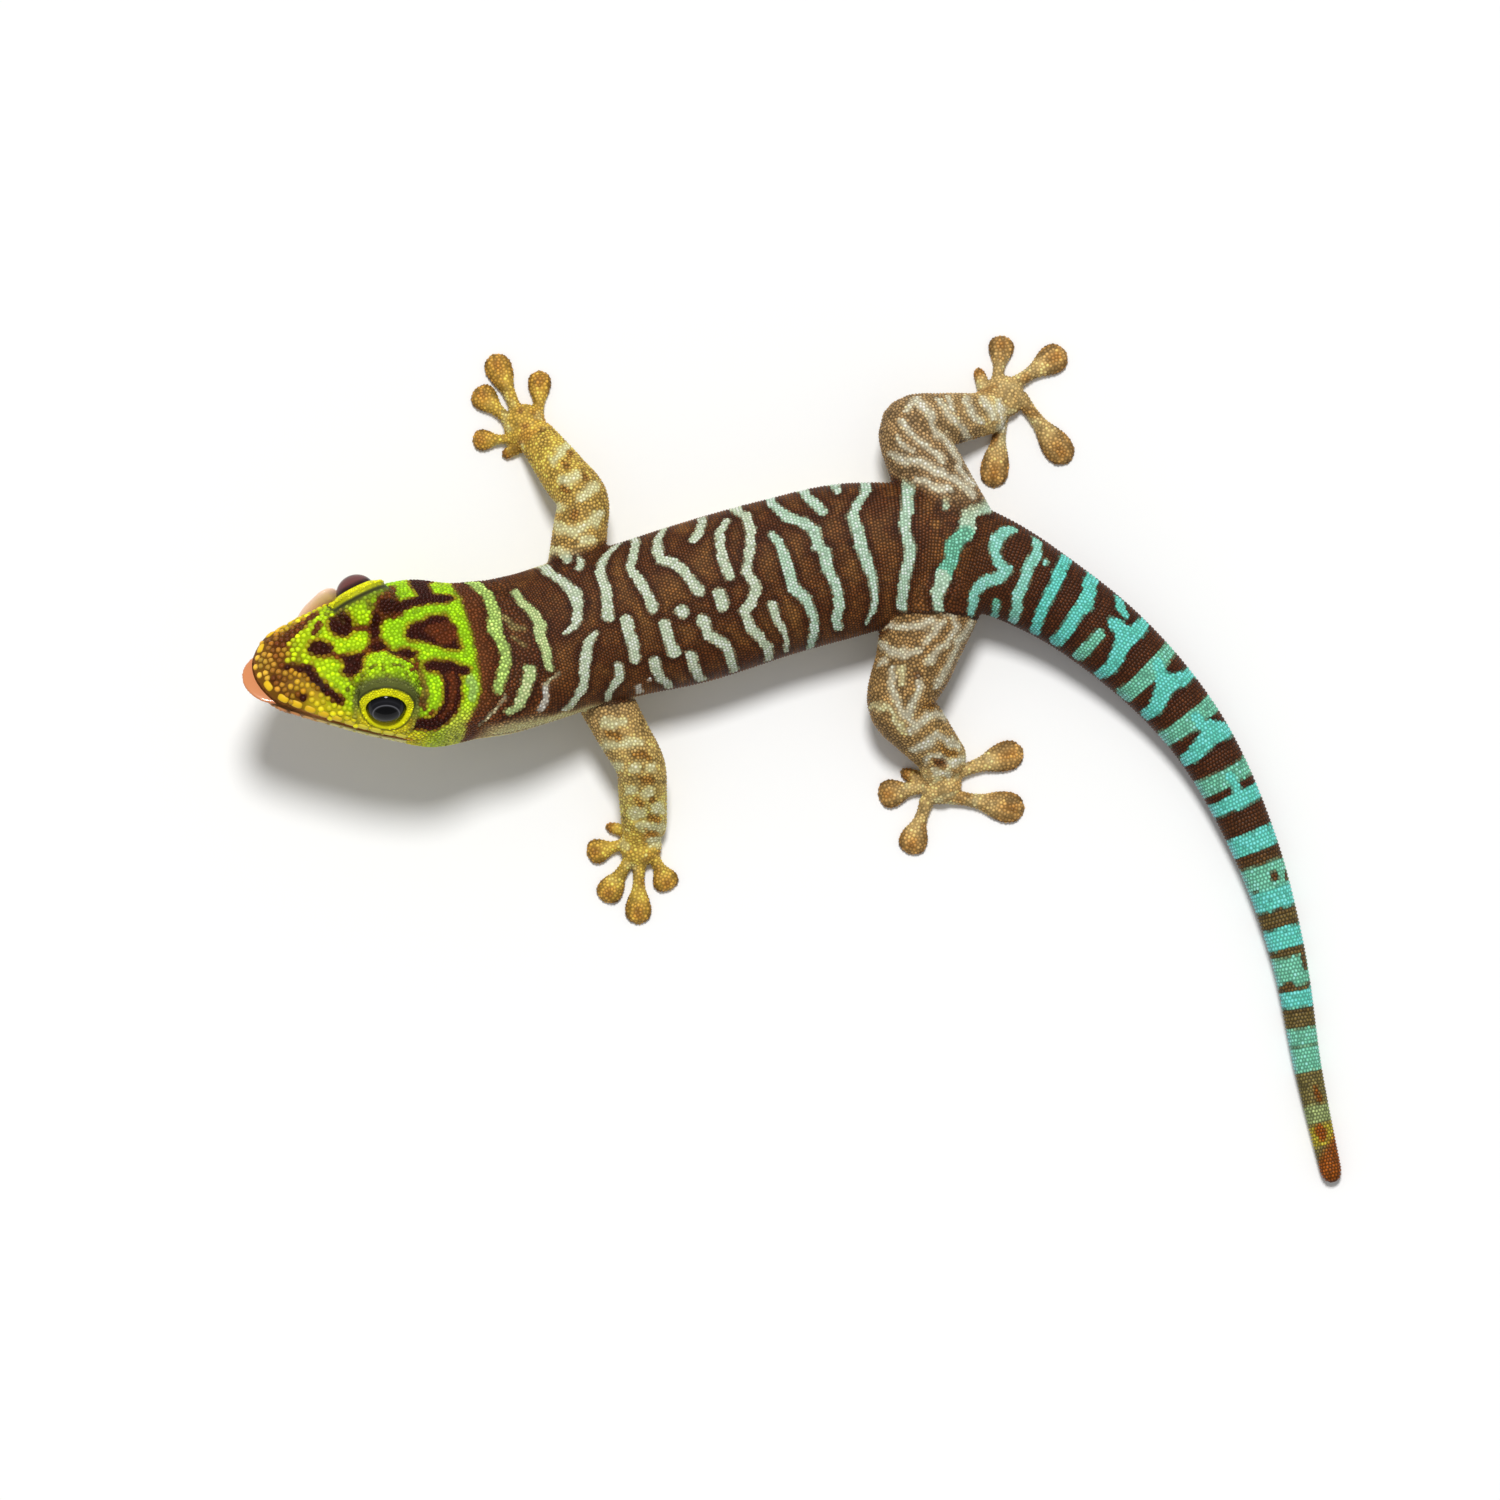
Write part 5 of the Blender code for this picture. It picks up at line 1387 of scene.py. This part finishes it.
def make_eye(side):
    """One eye: a round plug whose front is a low dome."""
    outline = [(0.05, -0.25), (EYE_RADIUS - 0.02, -0.25), (EYE_RADIUS - 0.02, EYE_EDGE * 0.5)]
    for angle in np.linspace(0, 88, 30):
        tilt = math.radians(angle)
        outline.append((EYE_RADIUS * math.cos(tilt), EYE_EDGE + EYE_HIGH[side] * math.sin(tilt)))
    return turned_shape("eye_left" if side > 0 else "eye_right", side, outline, 96)


def eye_colours(eye, side):
    """Black pupil, a thin pale ring round it and a charcoal iris, or a brown bulge."""
    _, radius, _ = eye_measures(places_of(eye), side)
    colours = painted(PUPIL, len(radius))
    colours = blend(colours, IRIS, eased(radius, 1.0, 1.15) * (1 - eased(radius, 1.4, 1.52)))
    colours = blend(colours, PUPIL_RING, ring_cover(radius, 1.06, 0.07) * 0.8)
    colours = blend(colours, IRIS_RING, ring_cover(radius, 1.34, 0.06) * 0.22)
    if side < 0:
        seen = eased(radius, 0.2, 0.9) * (1 - eased(radius, 1.35, 1.6))
        colours = blend(colours, EYE_BROWN, 0.35 + 0.6 * seen)
    return colours


def tongue_colours(tongue):
    """Orange in the mouth and pale where it is thin."""
    back, left, _ = head_measures(places_of(tongue))
    colours = painted(TONGUE_COLOUR, len(back))
    colours = blend(colours, TONGUE_DEEP, eased(back, 0.6, 2.2) * (1 - eased(-left, 1.5, 3.5)))
    return blend(colours, TONGUE_THIN, eased(-left, 2.8, 5.0))


def make_tongue():
    """The pad in the front of the mouth and the band up the side of the snout, as one body."""
    axes = head_axes()
    pad = ellipsoid("pad", head_point(*TONGUE_PAD), axes, [r - 0.02 for r in TONGUE_PAD_RADII])
    faces = [sum((axis * part for axis, part in zip(axes, row[5])), Vector()) for row in TONGUE_BAND]
    band = sweep("band", [head_point(*row[:3]) for row in TONGUE_BAND],
                 [row[3] for row in TONGUE_BAND], [row[4] for row in TONGUE_BAND], 40, up=faces,
                 grow=-0.02)
    tongue = remeshed(joined("tongue", [pad, band]), TONGUE_VOXEL)
    points = places_of(tongue)
    put_places(tongue, relaxed(tongue, points, np.ones(len(points)), 8))
    return tongue


def as_metres(made):
    """Scale an object's mesh from millimetres and shade it smooth."""
    made.data.transform(Matrix.Scale(MM, 4))
    made.data.shade_smooth()
    return made


def shader_of(name):
    """A new material and its main shader."""
    made = bpy.data.materials.new(name)
    made.use_nodes = True
    return made, made.node_tree.nodes["Principled BSDF"]


def dress(made, material):
    """Give an object one material."""
    made.data.materials.clear()
    made.data.materials.append(material)


def skin_material(name, roughness, specular, coat=0.0):
    """A surface whose colour is the one stored on its points, with a clear coat where it is wet."""
    made, shader = shader_of(name)
    colour = made.node_tree.nodes.new("ShaderNodeVertexColor")
    colour.layer_name = "Col"
    made.node_tree.links.new(colour.outputs["Color"], shader.inputs["Base Color"])
    shader.inputs["Roughness"].default_value = roughness
    shader.inputs["Specular IOR Level"].default_value = specular
    shader.inputs["Coat Weight"].default_value = coat
    shader.inputs["Coat Roughness"].default_value = 0.05
    return made


def plain_material(name, colour, roughness):
    """One plain colour."""
    made, shader = shader_of(name)
    shader.inputs["Base Color"].default_value = (*linear(colour), 1.0)
    shader.inputs["Roughness"].default_value = roughness
    return made


def linear(colour):
    """A colour of 0 to 255 as the linear values a shader takes."""
    part = np.asarray(colour, float) / 255
    return np.where(part <= 0.04045, part / 12.92, ((part + 0.055) / 1.055) ** 2.4)


def store_colours(made, colours):
    """Keep a linear colour on every point of an object."""
    layer = made.data.color_attributes.new("Col", "FLOAT_COLOR", "POINT")
    values = np.ones((len(colours), 4), np.float32)
    values[:, :3] = colours
    layer.data.foreach_set("color", values.ravel())


def skin_triangles(skin):
    """Corners of every triangle of the skin."""
    skin.data.calc_loop_triangles()
    found = np.empty(len(skin.data.loop_triangles) * 3, np.int32)
    skin.data.loop_triangles.foreach_get("vertices", found)
    return found.reshape(-1, 3)


def grain_size(back):
    """How wide the small scales are on head, trunk and tail."""
    return np.interp(back, (0, 2, 4, 7, 10, 14, 18, 24, 60, 100, 120),
                     (0.5, 0.5, 0.44, 0.35, 0.32, 0.3, 0.28, 0.275, 0.275, 0.31, 0.27))


def scattered(places, sizes):
    """Thin out places until none is nearer another than its size."""
    tree = search_tree(places)
    taken = np.zeros(len(places), bool)
    kept = []
    for i in range(len(places)):
        if taken[i]:
            continue
        kept.append(i)
        for _, j, _ in tree.find_range(places[i], sizes[i] * SPACING):
            taken[j] = True
    return np.array(kept)


def spread_out(places, sizes, surface, steps):
    """Move places away from their nearest neighbours along the skin."""
    for _ in range(steps):
        tree = search_tree(places)
        moved = places.copy()
        for i, point in enumerate(places):
            push = np.zeros(3)
            for _, j, away in tree.find_n(point, 7)[1:]:
                gap = sizes[i] * 1.05 - away
                if gap > 0 and away > 1e-6:
                    push += (point - places[j]) / away * gap * 0.35
            moved[i] = point + push
        for i, point in enumerate(moved):
            found = surface.find_nearest(point)[0]
            if found is not None:
                moved[i] = found
        places = moved
    return places


def scattered_scales(points, faces, measures, surface):
    """Centres of the scales of head, neck and legs, which lie in no rows."""
    back, _, out = measures
    middle = points[faces].mean(axis=1)
    cross = np.cross(points[faces[:, 1]] - points[faces[:, 0]], points[faces[:, 2]] - points[faces[:, 0]])
    area = np.linalg.norm(cross, axis=1) / 2
    face_back = back[faces].mean(axis=1)
    face_out = out[faces].mean(axis=1)
    on_leg = (face_out > 0.12) & (face_back > LEGS_FROM)
    wanted = ((face_back < ROWS_FROM) | on_leg) & (face_out > -0.3) & (middle[:, 2] > 0.12)
    sizes = np.where(on_leg, LEG_SCALE, grain_size(face_back))
    behind, _, over_lip = lip_measures(middle)
    by_lip = (1 - eased(over_lip, 1.2, 1.7)) * (over_lip > 0) * (1 - eased(behind, 7.5, 9))
    sizes = sizes + np.clip(SNOUT_SCALE - sizes, 0, 1) * by_lip * ~on_leg
    sizes = np.where(on_lids(middle, 2.5), LID_SCALE, sizes)
    chance = area * wanted / sizes**2
    count = int(chance.sum() * TRIES_PER_SCALE)
    chosen = rng.choice(len(faces), count, p=chance / chance.sum())
    weights = rng.dirichlet((1, 1, 1), count)
    places = (points[faces[chosen]] * weights[:, :, None]).sum(axis=1)
    sizes = sizes[chosen]
    kept = scattered(places, sizes)
    places = spread_out(places[kept], sizes[kept], surface, 2)
    return places, sizes[kept], on_leg[chosen[kept]]


def rowed_scales():
    """Centres of the scales of trunk and tail, in rings round the body."""
    places, sizes = [], []
    back, number = ROWS_FROM, 0
    while back < BODY_LENGTH - 0.15:
        size = float(grain_size(back))
        row = np.searchsorted(NET_BACK, back)
        small = np.abs(NET_ARC[row]) < RINGS_TO * HALF_ROUND[row]
        density = np.where(small, 1.0, 0.5) / size
        total = np.r_[0, np.cumsum((density[1:] + density[:-1]) / 2 * np.diff(NET_ARC[row]))]
        count = max(int(round(total[-1])), 5)
        marks = (np.arange(count) + 0.5 * (number % 2) + 0.25) / count * total[-1]
        turns = np.interp(marks, total, NET_TURN)
        arcs = np.interp(marks, total, NET_ARC[row])
        ring = body_rings([back], turns, -COAT)[0]
        width = np.where(np.abs(arcs) < RINGS_TO * HALF_ROUND[row], size, size * BELLY_SCALE)
        keep = (width == size) | (number % 2 == 0)
        shake = rng.normal(0, SHAKE, ring.shape)
        places.append((ring + shake)[keep])
        sizes.append(width[keep])
        back += size * RING_STEP[0 if back < CLOSER_TO else 1]
        number += 1
    return np.concatenate(places), np.concatenate(sizes)


def on_surface(places, surface):
    """The nearest place on the skin, its outward direction, and how far that is."""
    found = [surface.find_nearest(point) for point in places]
    return (np.array([hit[0] for hit in found]), np.array([hit[1] for hit in found]),
            np.array([hit[3] for hit in found]))


def tangents(normals):
    """Two directions along the skin at each place."""
    rough = np.where(np.abs(normals[:, :1]) < 0.8, (1.0, 0, 0), (0, 1.0, 0))
    first = rough - (rough * normals).sum(1)[:, None] * normals
    first /= np.linalg.norm(first, axis=1)[:, None]
    return first, np.cross(normals, first)


def outlines(places, normals, sizes, corners):
    """How far each scale reaches in each direction before it meets its neighbours."""
    tree = search_tree(places)
    near = np.array([[hit[1] for hit in tree.find_n(point, 12)][1:] for point in places])
    first, second = tangents(normals)
    away = places[near] - places[:, None]
    across = (away * first[:, None]).sum(2)
    along = (away * second[:, None]).sum(2)
    square = across**2 + along**2
    facing = (normals[near] * normals[:, None]).sum(2) > 0.1
    turn = np.arange(corners) * 2 * np.pi / corners + GRAIN_TURN
    reach = np.empty((len(places), corners))
    for i, angle in enumerate(turn):
        toward = across * math.cos(angle) + along * math.sin(angle)
        meets = np.where((toward > 1e-6) & facing, square / (2 * np.maximum(toward, 1e-6)), np.inf)
        reach[:, i] = np.minimum(meets.min(axis=1), sizes * SCALE_REACH)
    return reach, turn


def dome_faces(corners, rings):
    """The triangles of a dome made of a point and this many rings of points round it."""
    i = np.arange(corners)
    j = (i + 1) % corners
    faces = [np.stack([0 * i, 1 + i, 1 + j], -1)]
    for start in range(1, 1 + corners * (rings - 1), corners):
        faces.append(np.stack([start + i, start + corners + i, start + corners + j], -1))
        faces.append(np.stack([start + i, start + corners + j, start + j], -1))
    return np.concatenate(faces)


def scale_mesh(name, layers, colours, patches, corners, turned_over=False):
    """One mesh of domed scales, with their colours and their patches of the colour map."""
    points = np.concatenate(layers, axis=1)
    count, each = points.shape[:2]
    faces = dome_faces(corners, len(layers) - 1)
    if turned_over:
        faces = faces[:, ::-1]
    all_faces = (faces[None] + (np.arange(count) * each)[:, None, None]).reshape(-1, 3)
    made = mesh_of(name, points.reshape(-1, 3), all_faces, len(all_faces))
    colours = np.concatenate(colours, axis=1)
    store_colours(made, linear(np.clip(colours, 0, 255)).reshape(-1, 3))
    layer = made.data.uv_layers.new(name="OFBake")
    layer.data.foreach_set("uv", patches.reshape(-1, 2)[all_faces.ravel()].astype(np.float32).ravel())
    return made


# The rings of a small scale: how far each reaches out, and how high it lies as a share of the
# scale's height. The last one is the rim.
FINE_RINGS = ((0.62, 0.72), (0.94, -0.1))
PLAIN_RINGS = ((0.94, -0.1),)
SCALE_PATCH = 0.0015  # of the colour map's side
# Painted light on the raised ring of a fine scale
PAINTED_SHOULDER_LIGHT = 1.08


def build_scales(name, places, normals, reach, turn, heights, base, peak, rim, flat_uv, rings):
    """One mesh of small scales, each a little lighter or darker than the next, with painted light at its
    peak and raised ring and painted shade at its rim.
    """
    count, corners = reach.shape
    first, second = tangents(normals)
    way = first[:, None] * np.cos(turn)[None, :, None] + second[:, None] * np.sin(turn)[None, :, None]
    lift = np.clip(rng.normal(1.0, 0.1, (count, 1, 1)), 0.75, 1.25)
    tint = base[:, None] * lift
    layers = [(places + normals * heights[:, None])[:, None]]
    colours = [tint * peak[:, None, None]]
    spots = [np.zeros((count, 1, 2))]
    circle = np.stack([np.cos(turn), np.sin(turn)], -1)
    for share, rise in rings:
        layers.append(places[:, None] + way * (reach * share)[..., None]
                      + normals[:, None] * (heights * rise)[:, None, None])
        # Painted light on a raised ring, painted shade at the rim
        shade = PAINTED_SHOULDER_LIGHT if rise > 0 else rim[:, None, None]
        colours.append(np.repeat(tint * shade, corners, axis=1))
        spots.append(np.repeat(circle[None] * SCALE_PATCH * share, count, axis=0))
    patches = flat_uv[:, None] + np.concatenate(spots, axis=1)
    return scale_mesh(name, layers, colours, patches, corners)


def flattened(back, arc, on_leg, points):
    """Where each place lies on an unwrap of its piece of the skin, from 0 to 1."""
    wide = (back - back.min()) / max(np.ptp(back), 1e-6)
    high = (arc - arc.min()) / max(np.ptp(arc), 1e-6)
    if on_leg:
        which, share, _ = leg_measures(points)
        row = SEGMENTS[which]
        step = row[:, 5:8] - row[:, 2:5]
        away = points - row[:, 2:5] - share[:, None] * step
        side = np.stack([-step[:, 1], step[:, 0], 0 * step[:, 0]], -1)
        side /= np.linalg.norm(side, axis=1)[:, None] + 1e-9
        turn = np.arctan2((away * side).sum(1), away[:, 2]) / (2 * np.pi) + 0.5
        wide = (row[:, 1] + 0.03 + 0.94 * share) / 8
        high = (row[:, 0] + 0.03 + 0.94 * turn) / 4
    return np.stack([0.01 + 0.98 * wide, 0.01 + 0.98 * high], -1)


# How far the middles of the lips' long scales lie from the mouth, above and below it
LIP_AWAY = {1: 0.42, -1: 0.3}


def labial_rows(surface):
    """The long scales along both lips: middles, outward directions and directions along the lip."""
    places, ways = [], []
    for side in (1, -1):
        for jaw in (1, -1):
            for back in np.arange(0.9, MOUTH_CORNER - 0.6, LABIAL_STEP):
                rows = []
                for at in (back - 0.3, back, back + 0.3):
                    over = float(mouth_height(at)) + jaw * (float(mouth_opening(at)) / 2 + LIP_AWAY[jaw])
                    rows.append(np.array(head_point(at, side * head_side(at, over), over)))
                places.append(rows[1])
                ways.append(rows[2] - rows[0])
    places, ways = np.array(places), np.array(ways)
    found, normals, _ = on_surface(places, surface)
    ways -= (ways * normals).sum(1)[:, None] * normals
    ways /= np.linalg.norm(ways, axis=1)[:, None]
    return found, normals, ways


# The layers of a long scale of the lips: how far each reaches out, how high it lies and its shade, painted
# light in the middle and painted shade at the rim
LABIAL_LAYERS = ((0.0, 0.1, 1.05), (0.55, 0.09, 1.04), (0.85, 0.055, 0.98), (1.0, -0.03, 0.45))
LABIAL_HALF = (0.5, 0.33)
LABIAL_POWER = 0.62
LABIAL_PATCH = 0.003


def build_labials(surface, tree):
    """The long scales along the lips as one mesh, and their middles."""
    places, normals, ways = labial_rows(surface)
    across = np.cross(normals, ways)
    turn = np.arange(LABIAL_CORNERS) * 2 * np.pi / LABIAL_CORNERS
    wide, high = (np.sign(part) * np.abs(part) ** LABIAL_POWER * half
                  for part, half in zip((np.cos(turn), np.sin(turn)), LABIAL_HALF))
    back, arc, _ = body_measures(places, tree)
    jaw = head_measures(places)[2] < mouth_height(back)
    upper = blend(painted(UPPER_LIP_FRONT, len(back)), UPPER_LIP, eased(back, 4, 9))
    lower = blend(painted(LOWER_LIP_FRONT, len(back)), LOWER_LIP, eased(back, 2.5, 6.5))
    base = np.where(jaw[:, None], lower, upper)
    layers, colours, patch = [], [], []
    # Painted light and shade of each layer
    for share, rise, shade in LABIAL_LAYERS:
        if share:
            ring = (places[:, None] + ways[:, None] * (wide * share)[None, :, None]
                    + across[:, None] * (high * share)[None, :, None])
            hits = on_surface(ring.reshape(-1, 3), surface)
            layers.append(hits[0].reshape(ring.shape) + hits[1].reshape(ring.shape) * rise)
            colours.append(np.repeat(base[:, None] * shade, LABIAL_CORNERS, axis=1))
            patch.append(np.stack([wide, high], -1) * share * LABIAL_PATCH)
        else:
            layers.append(places[:, None] + normals[:, None] * rise)
            colours.append(base[:, None] * shade)
            patch.append(np.zeros((1, 2)))
    patches = flattened(back, arc, False, places)[:, None] + np.concatenate(patch)[None]
    turned_over = np.linalg.det(np.stack([ways[0], across[0], normals[0]])) < 0
    return scale_mesh("labial_scales", layers, colours, patches, LABIAL_CORNERS, turned_over), places


def lighter(shades, colours, light, most):
    """Painted shade between and at the rims of scales, drawn towards a lighter one on pale colours."""
    return shades + (light - shades) * np.clip((colours.mean(axis=1) - 130) / 60, 0, most)


def skin_colours(points, back, arc, out):
    """The animal's colours with painted shade between the scales, and the inside of the mouth, painted dark
    as shade towards its corners.
    """
    between = np.interp(back, SHADES_AT, PAINTED_GAP_SHADE)
    between[on_feet(points) & (out > 0.5)] = PAINTED_GAP_SHADE_ON_FEET
    colours = paint(points, back, arc, out)
    between = lighter(between, colours, 0.86, 0.8)
    lids = on_lids(points, 2.6)
    # Painted shade on the skin between the scales, none on the lids
    colours = colours * np.where(lids, 1.0, between)[:, None]
    # Painted shade between the beads of the snout
    colours = blend(colours, SNOUT_GAP_SHADE, (1 - eased(back, 2.4, 4.4)) * 0.6 * ~lids)
    inside = -out - COAT > 0.22
    colours[inside] = MOUTH_RED
    # The back of the mouth painted dark as shade
    colours[inside & (back > MOUTH_CORNER - 1)] = MOUTH_DEPTH_SHADE
    return colours


def scales_kept(places, away, on_leg, back, out, lip_places):
    """Which scales stay: none in the mouth, on the floor, under long scales or at an eye's edge."""
    keep = (away < 0.2) & (places[:, 2] > 0.1) & (on_leg | (out < 0.45) | (back < ROWS_FROM))
    lip_tree = search_tree(lip_places)
    keep &= np.array([lip_tree.find(point)[2] > 0.46 for point in places])
    behind, _, over_lip = lip_measures(places)
    keep &= ~((behind < MOUTH_CORNER - 0.5) & (over_lip < 0.12) & (over_lip > -mouth_opening(behind) - 0.1))
    keep &= ~((out < -0.25) & (back < MOUTH_CORNER))
    for side in (1, -1):
        height, radius, flat = eye_measures(places, side)
        edge, _ = lid_edge(flat, radius, side)
        keep &= ~((radius < EYE_RADIUS + 0.16) & (height > 0))
        keep &= ~((np.abs(radius - edge - 0.1) < 0.12) & (height > 0.1))
    return keep


# The skin, inside every node of flesh
tree = search_tree(NET.reshape(-1, 3))
skin = make_skin(tree)
skin_places = places_of(skin)
measures = body_measures(skin_places, tree)
faces = skin_triangles(skin)
surface = BVHTree.FromPolygons(skin_places.tolist(), faces.tolist())
store_colours(skin, linear(skin_colours(skin_places, *measures)))
dress(skin, skin_material("skin", roughness=0.5, specular=0.06))
SKIN_NODES = ["head", "lower_jaw", "neck", "torso", "tail_base", "tail_middle", "tail_tip"]
SKIN_NODES += [f"{name}_{part}" for name in LEGS for part in ("upper", "lower", "foot")]
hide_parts(*SKIN_NODES)
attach(skin, "root")

# The coat: long scales along the lips and small scales everywhere else
loose, loose_sizes, loose_leg = scattered_scales(skin_places, faces, measures, surface)
rowed, rowed_sizes = rowed_scales()
places, normals, away = on_surface(np.concatenate([loose, rowed]), surface)
sizes = np.concatenate([loose_sizes, rowed_sizes])
on_leg = np.concatenate([loose_leg, np.zeros(len(rowed), bool)])
back, arc, out = body_measures(places, tree)
labials, lip_places = build_labials(surface, tree)
keep = scales_kept(places, away, on_leg, back, out, lip_places)
places, normals, sizes, on_leg = places[keep], normals[keep], sizes[keep], on_leg[keep]
back, arc, out = back[keep], arc[keep], out[keep]
colours = paint(places, back, arc, out)
reach, turn = outlines(places, normals, sizes, GRAIN_CORNERS)
# Painted shade at the rims of the scales and painted light at their peaks
rims = np.where(on_leg, PAINTED_RIM_SHADE_ON_LEGS, np.interp(back, SHADES_AT, PAINTED_RIM_SHADE))
rims[on_leg & on_feet(places)] = PAINTED_RIM_SHADE_ON_FEET
rims = lighter(rims, colours, 0.8, 0.6)
peaks = np.where(on_leg, PAINTED_PEAK_LIGHT_ON_LEGS, np.interp(back, SHADES_AT, PAINTED_PEAK_LIGHT))
front = places[:, 0] < LEGS_PARTED
groups = (
    ("scales_head", ~on_leg & (back < HEAD_TO), "head", FINE_RINGS),
    ("scales_trunk_front", ~on_leg & (back >= HEAD_TO) & (back < TRUNK_PARTED), "trunk", PLAIN_RINGS),
    ("scales_trunk_rear", ~on_leg & (back >= TRUNK_PARTED) & (back < TAIL_FROM), "trunk", PLAIN_RINGS),
    ("scales_tail", ~on_leg & (back >= TAIL_FROM), "tail", PLAIN_RINGS),
    ("scales_front_legs", on_leg & front, "leg", PLAIN_RINGS),
    ("scales_hind_legs", on_leg & ~front, "leg", PLAIN_RINGS),
)
scale_look = skin_material("scales", roughness=0.38, specular=0.14)
for name, chosen, slot, rings in groups:
    uv = flattened(back[chosen], arc[chosen], slot == "leg", places[chosen])
    heights = sizes[chosen] * SCALE_HEIGHT
    made = build_scales(name, places[chosen], normals[chosen], reach[chosen], turn, heights,
                        colours[chosen], peaks[chosen], rims[chosen], uv, rings)
    dress(made, scale_look)
    as_metres(made)
    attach(made, "root")
dress(labials, scale_look)
as_metres(labials)
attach(labials, "root")
as_metres(skin)

# Eyes and tongue
for side, word in ((1, "eye_left"), (-1, "eye_right")):
    eye = make_eye(side)
    store_colours(eye, linear(eye_colours(eye, side)))
    as_metres(eye)
    dress(eye, skin_material(word, roughness=0.12, specular=0.08, coat=0.15))
    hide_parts(word)
    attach(eye, "root")

tongue = make_tongue()
store_colours(tongue, linear(tongue_colours(tongue)))
as_metres(tongue)
dress(tongue, skin_material("tongue", roughness=0.35, specular=0.3, coat=0.6))
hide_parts("tongue")
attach(tongue, "root")

# A pale floor, the sun from the top of the picture, an even sky and a camera straight above
FLOOR_HALF = 2.0
SUN_POWER = 2.6
SUN_WIDTH = math.radians(14)
SUN_TILT = math.radians(-27)
SKY_STRENGTH = 0.37
CAMERA_PLACE = (-0.00338, 0.000765, 3.0)
SENSOR_WIDTH = 36
VIEW_WIDTH = 0.12075

corners = [(x * FLOOR_HALF, y * FLOOR_HALF, 0) for x, y in ((-1, -1), (1, -1), (1, 1), (-1, 1))]
floor = mesh_of("floor", np.array(corners, float), np.array([0, 1, 2, 3]), 1)
dress(floor, plain_material("floor", FLOOR_COLOUR, roughness=0.9))

sun_data = bpy.data.lights.new("sun", "SUN")
sun_data.energy = SUN_POWER
sun_data.angle = SUN_WIDTH
sun = bpy.data.objects.new("sun", sun_data)
sun.rotation_euler = (SUN_TILT, 0, 0)
bpy.context.scene.collection.objects.link(sun)

world = bpy.data.worlds.new("sky")
world.use_nodes = True
sky = world.node_tree.nodes["Background"]
sky.inputs["Color"].default_value = (1.0, 1.0, 1.0, 1.0)
sky.inputs["Strength"].default_value = SKY_STRENGTH
bpy.context.scene.world = world

camera_data = bpy.data.cameras.new("camera")
camera = bpy.data.objects.new("camera", camera_data)
camera.location = CAMERA_PLACE
camera_data.sensor_width = SENSOR_WIDTH
camera_data.lens = SENSOR_WIDTH * CAMERA_PLACE[2] / VIEW_WIDTH
bpy.context.scene.collection.objects.link(camera)
bpy.context.scene.camera = camera
bpy.context.scene.view_settings.view_transform = "Standard"
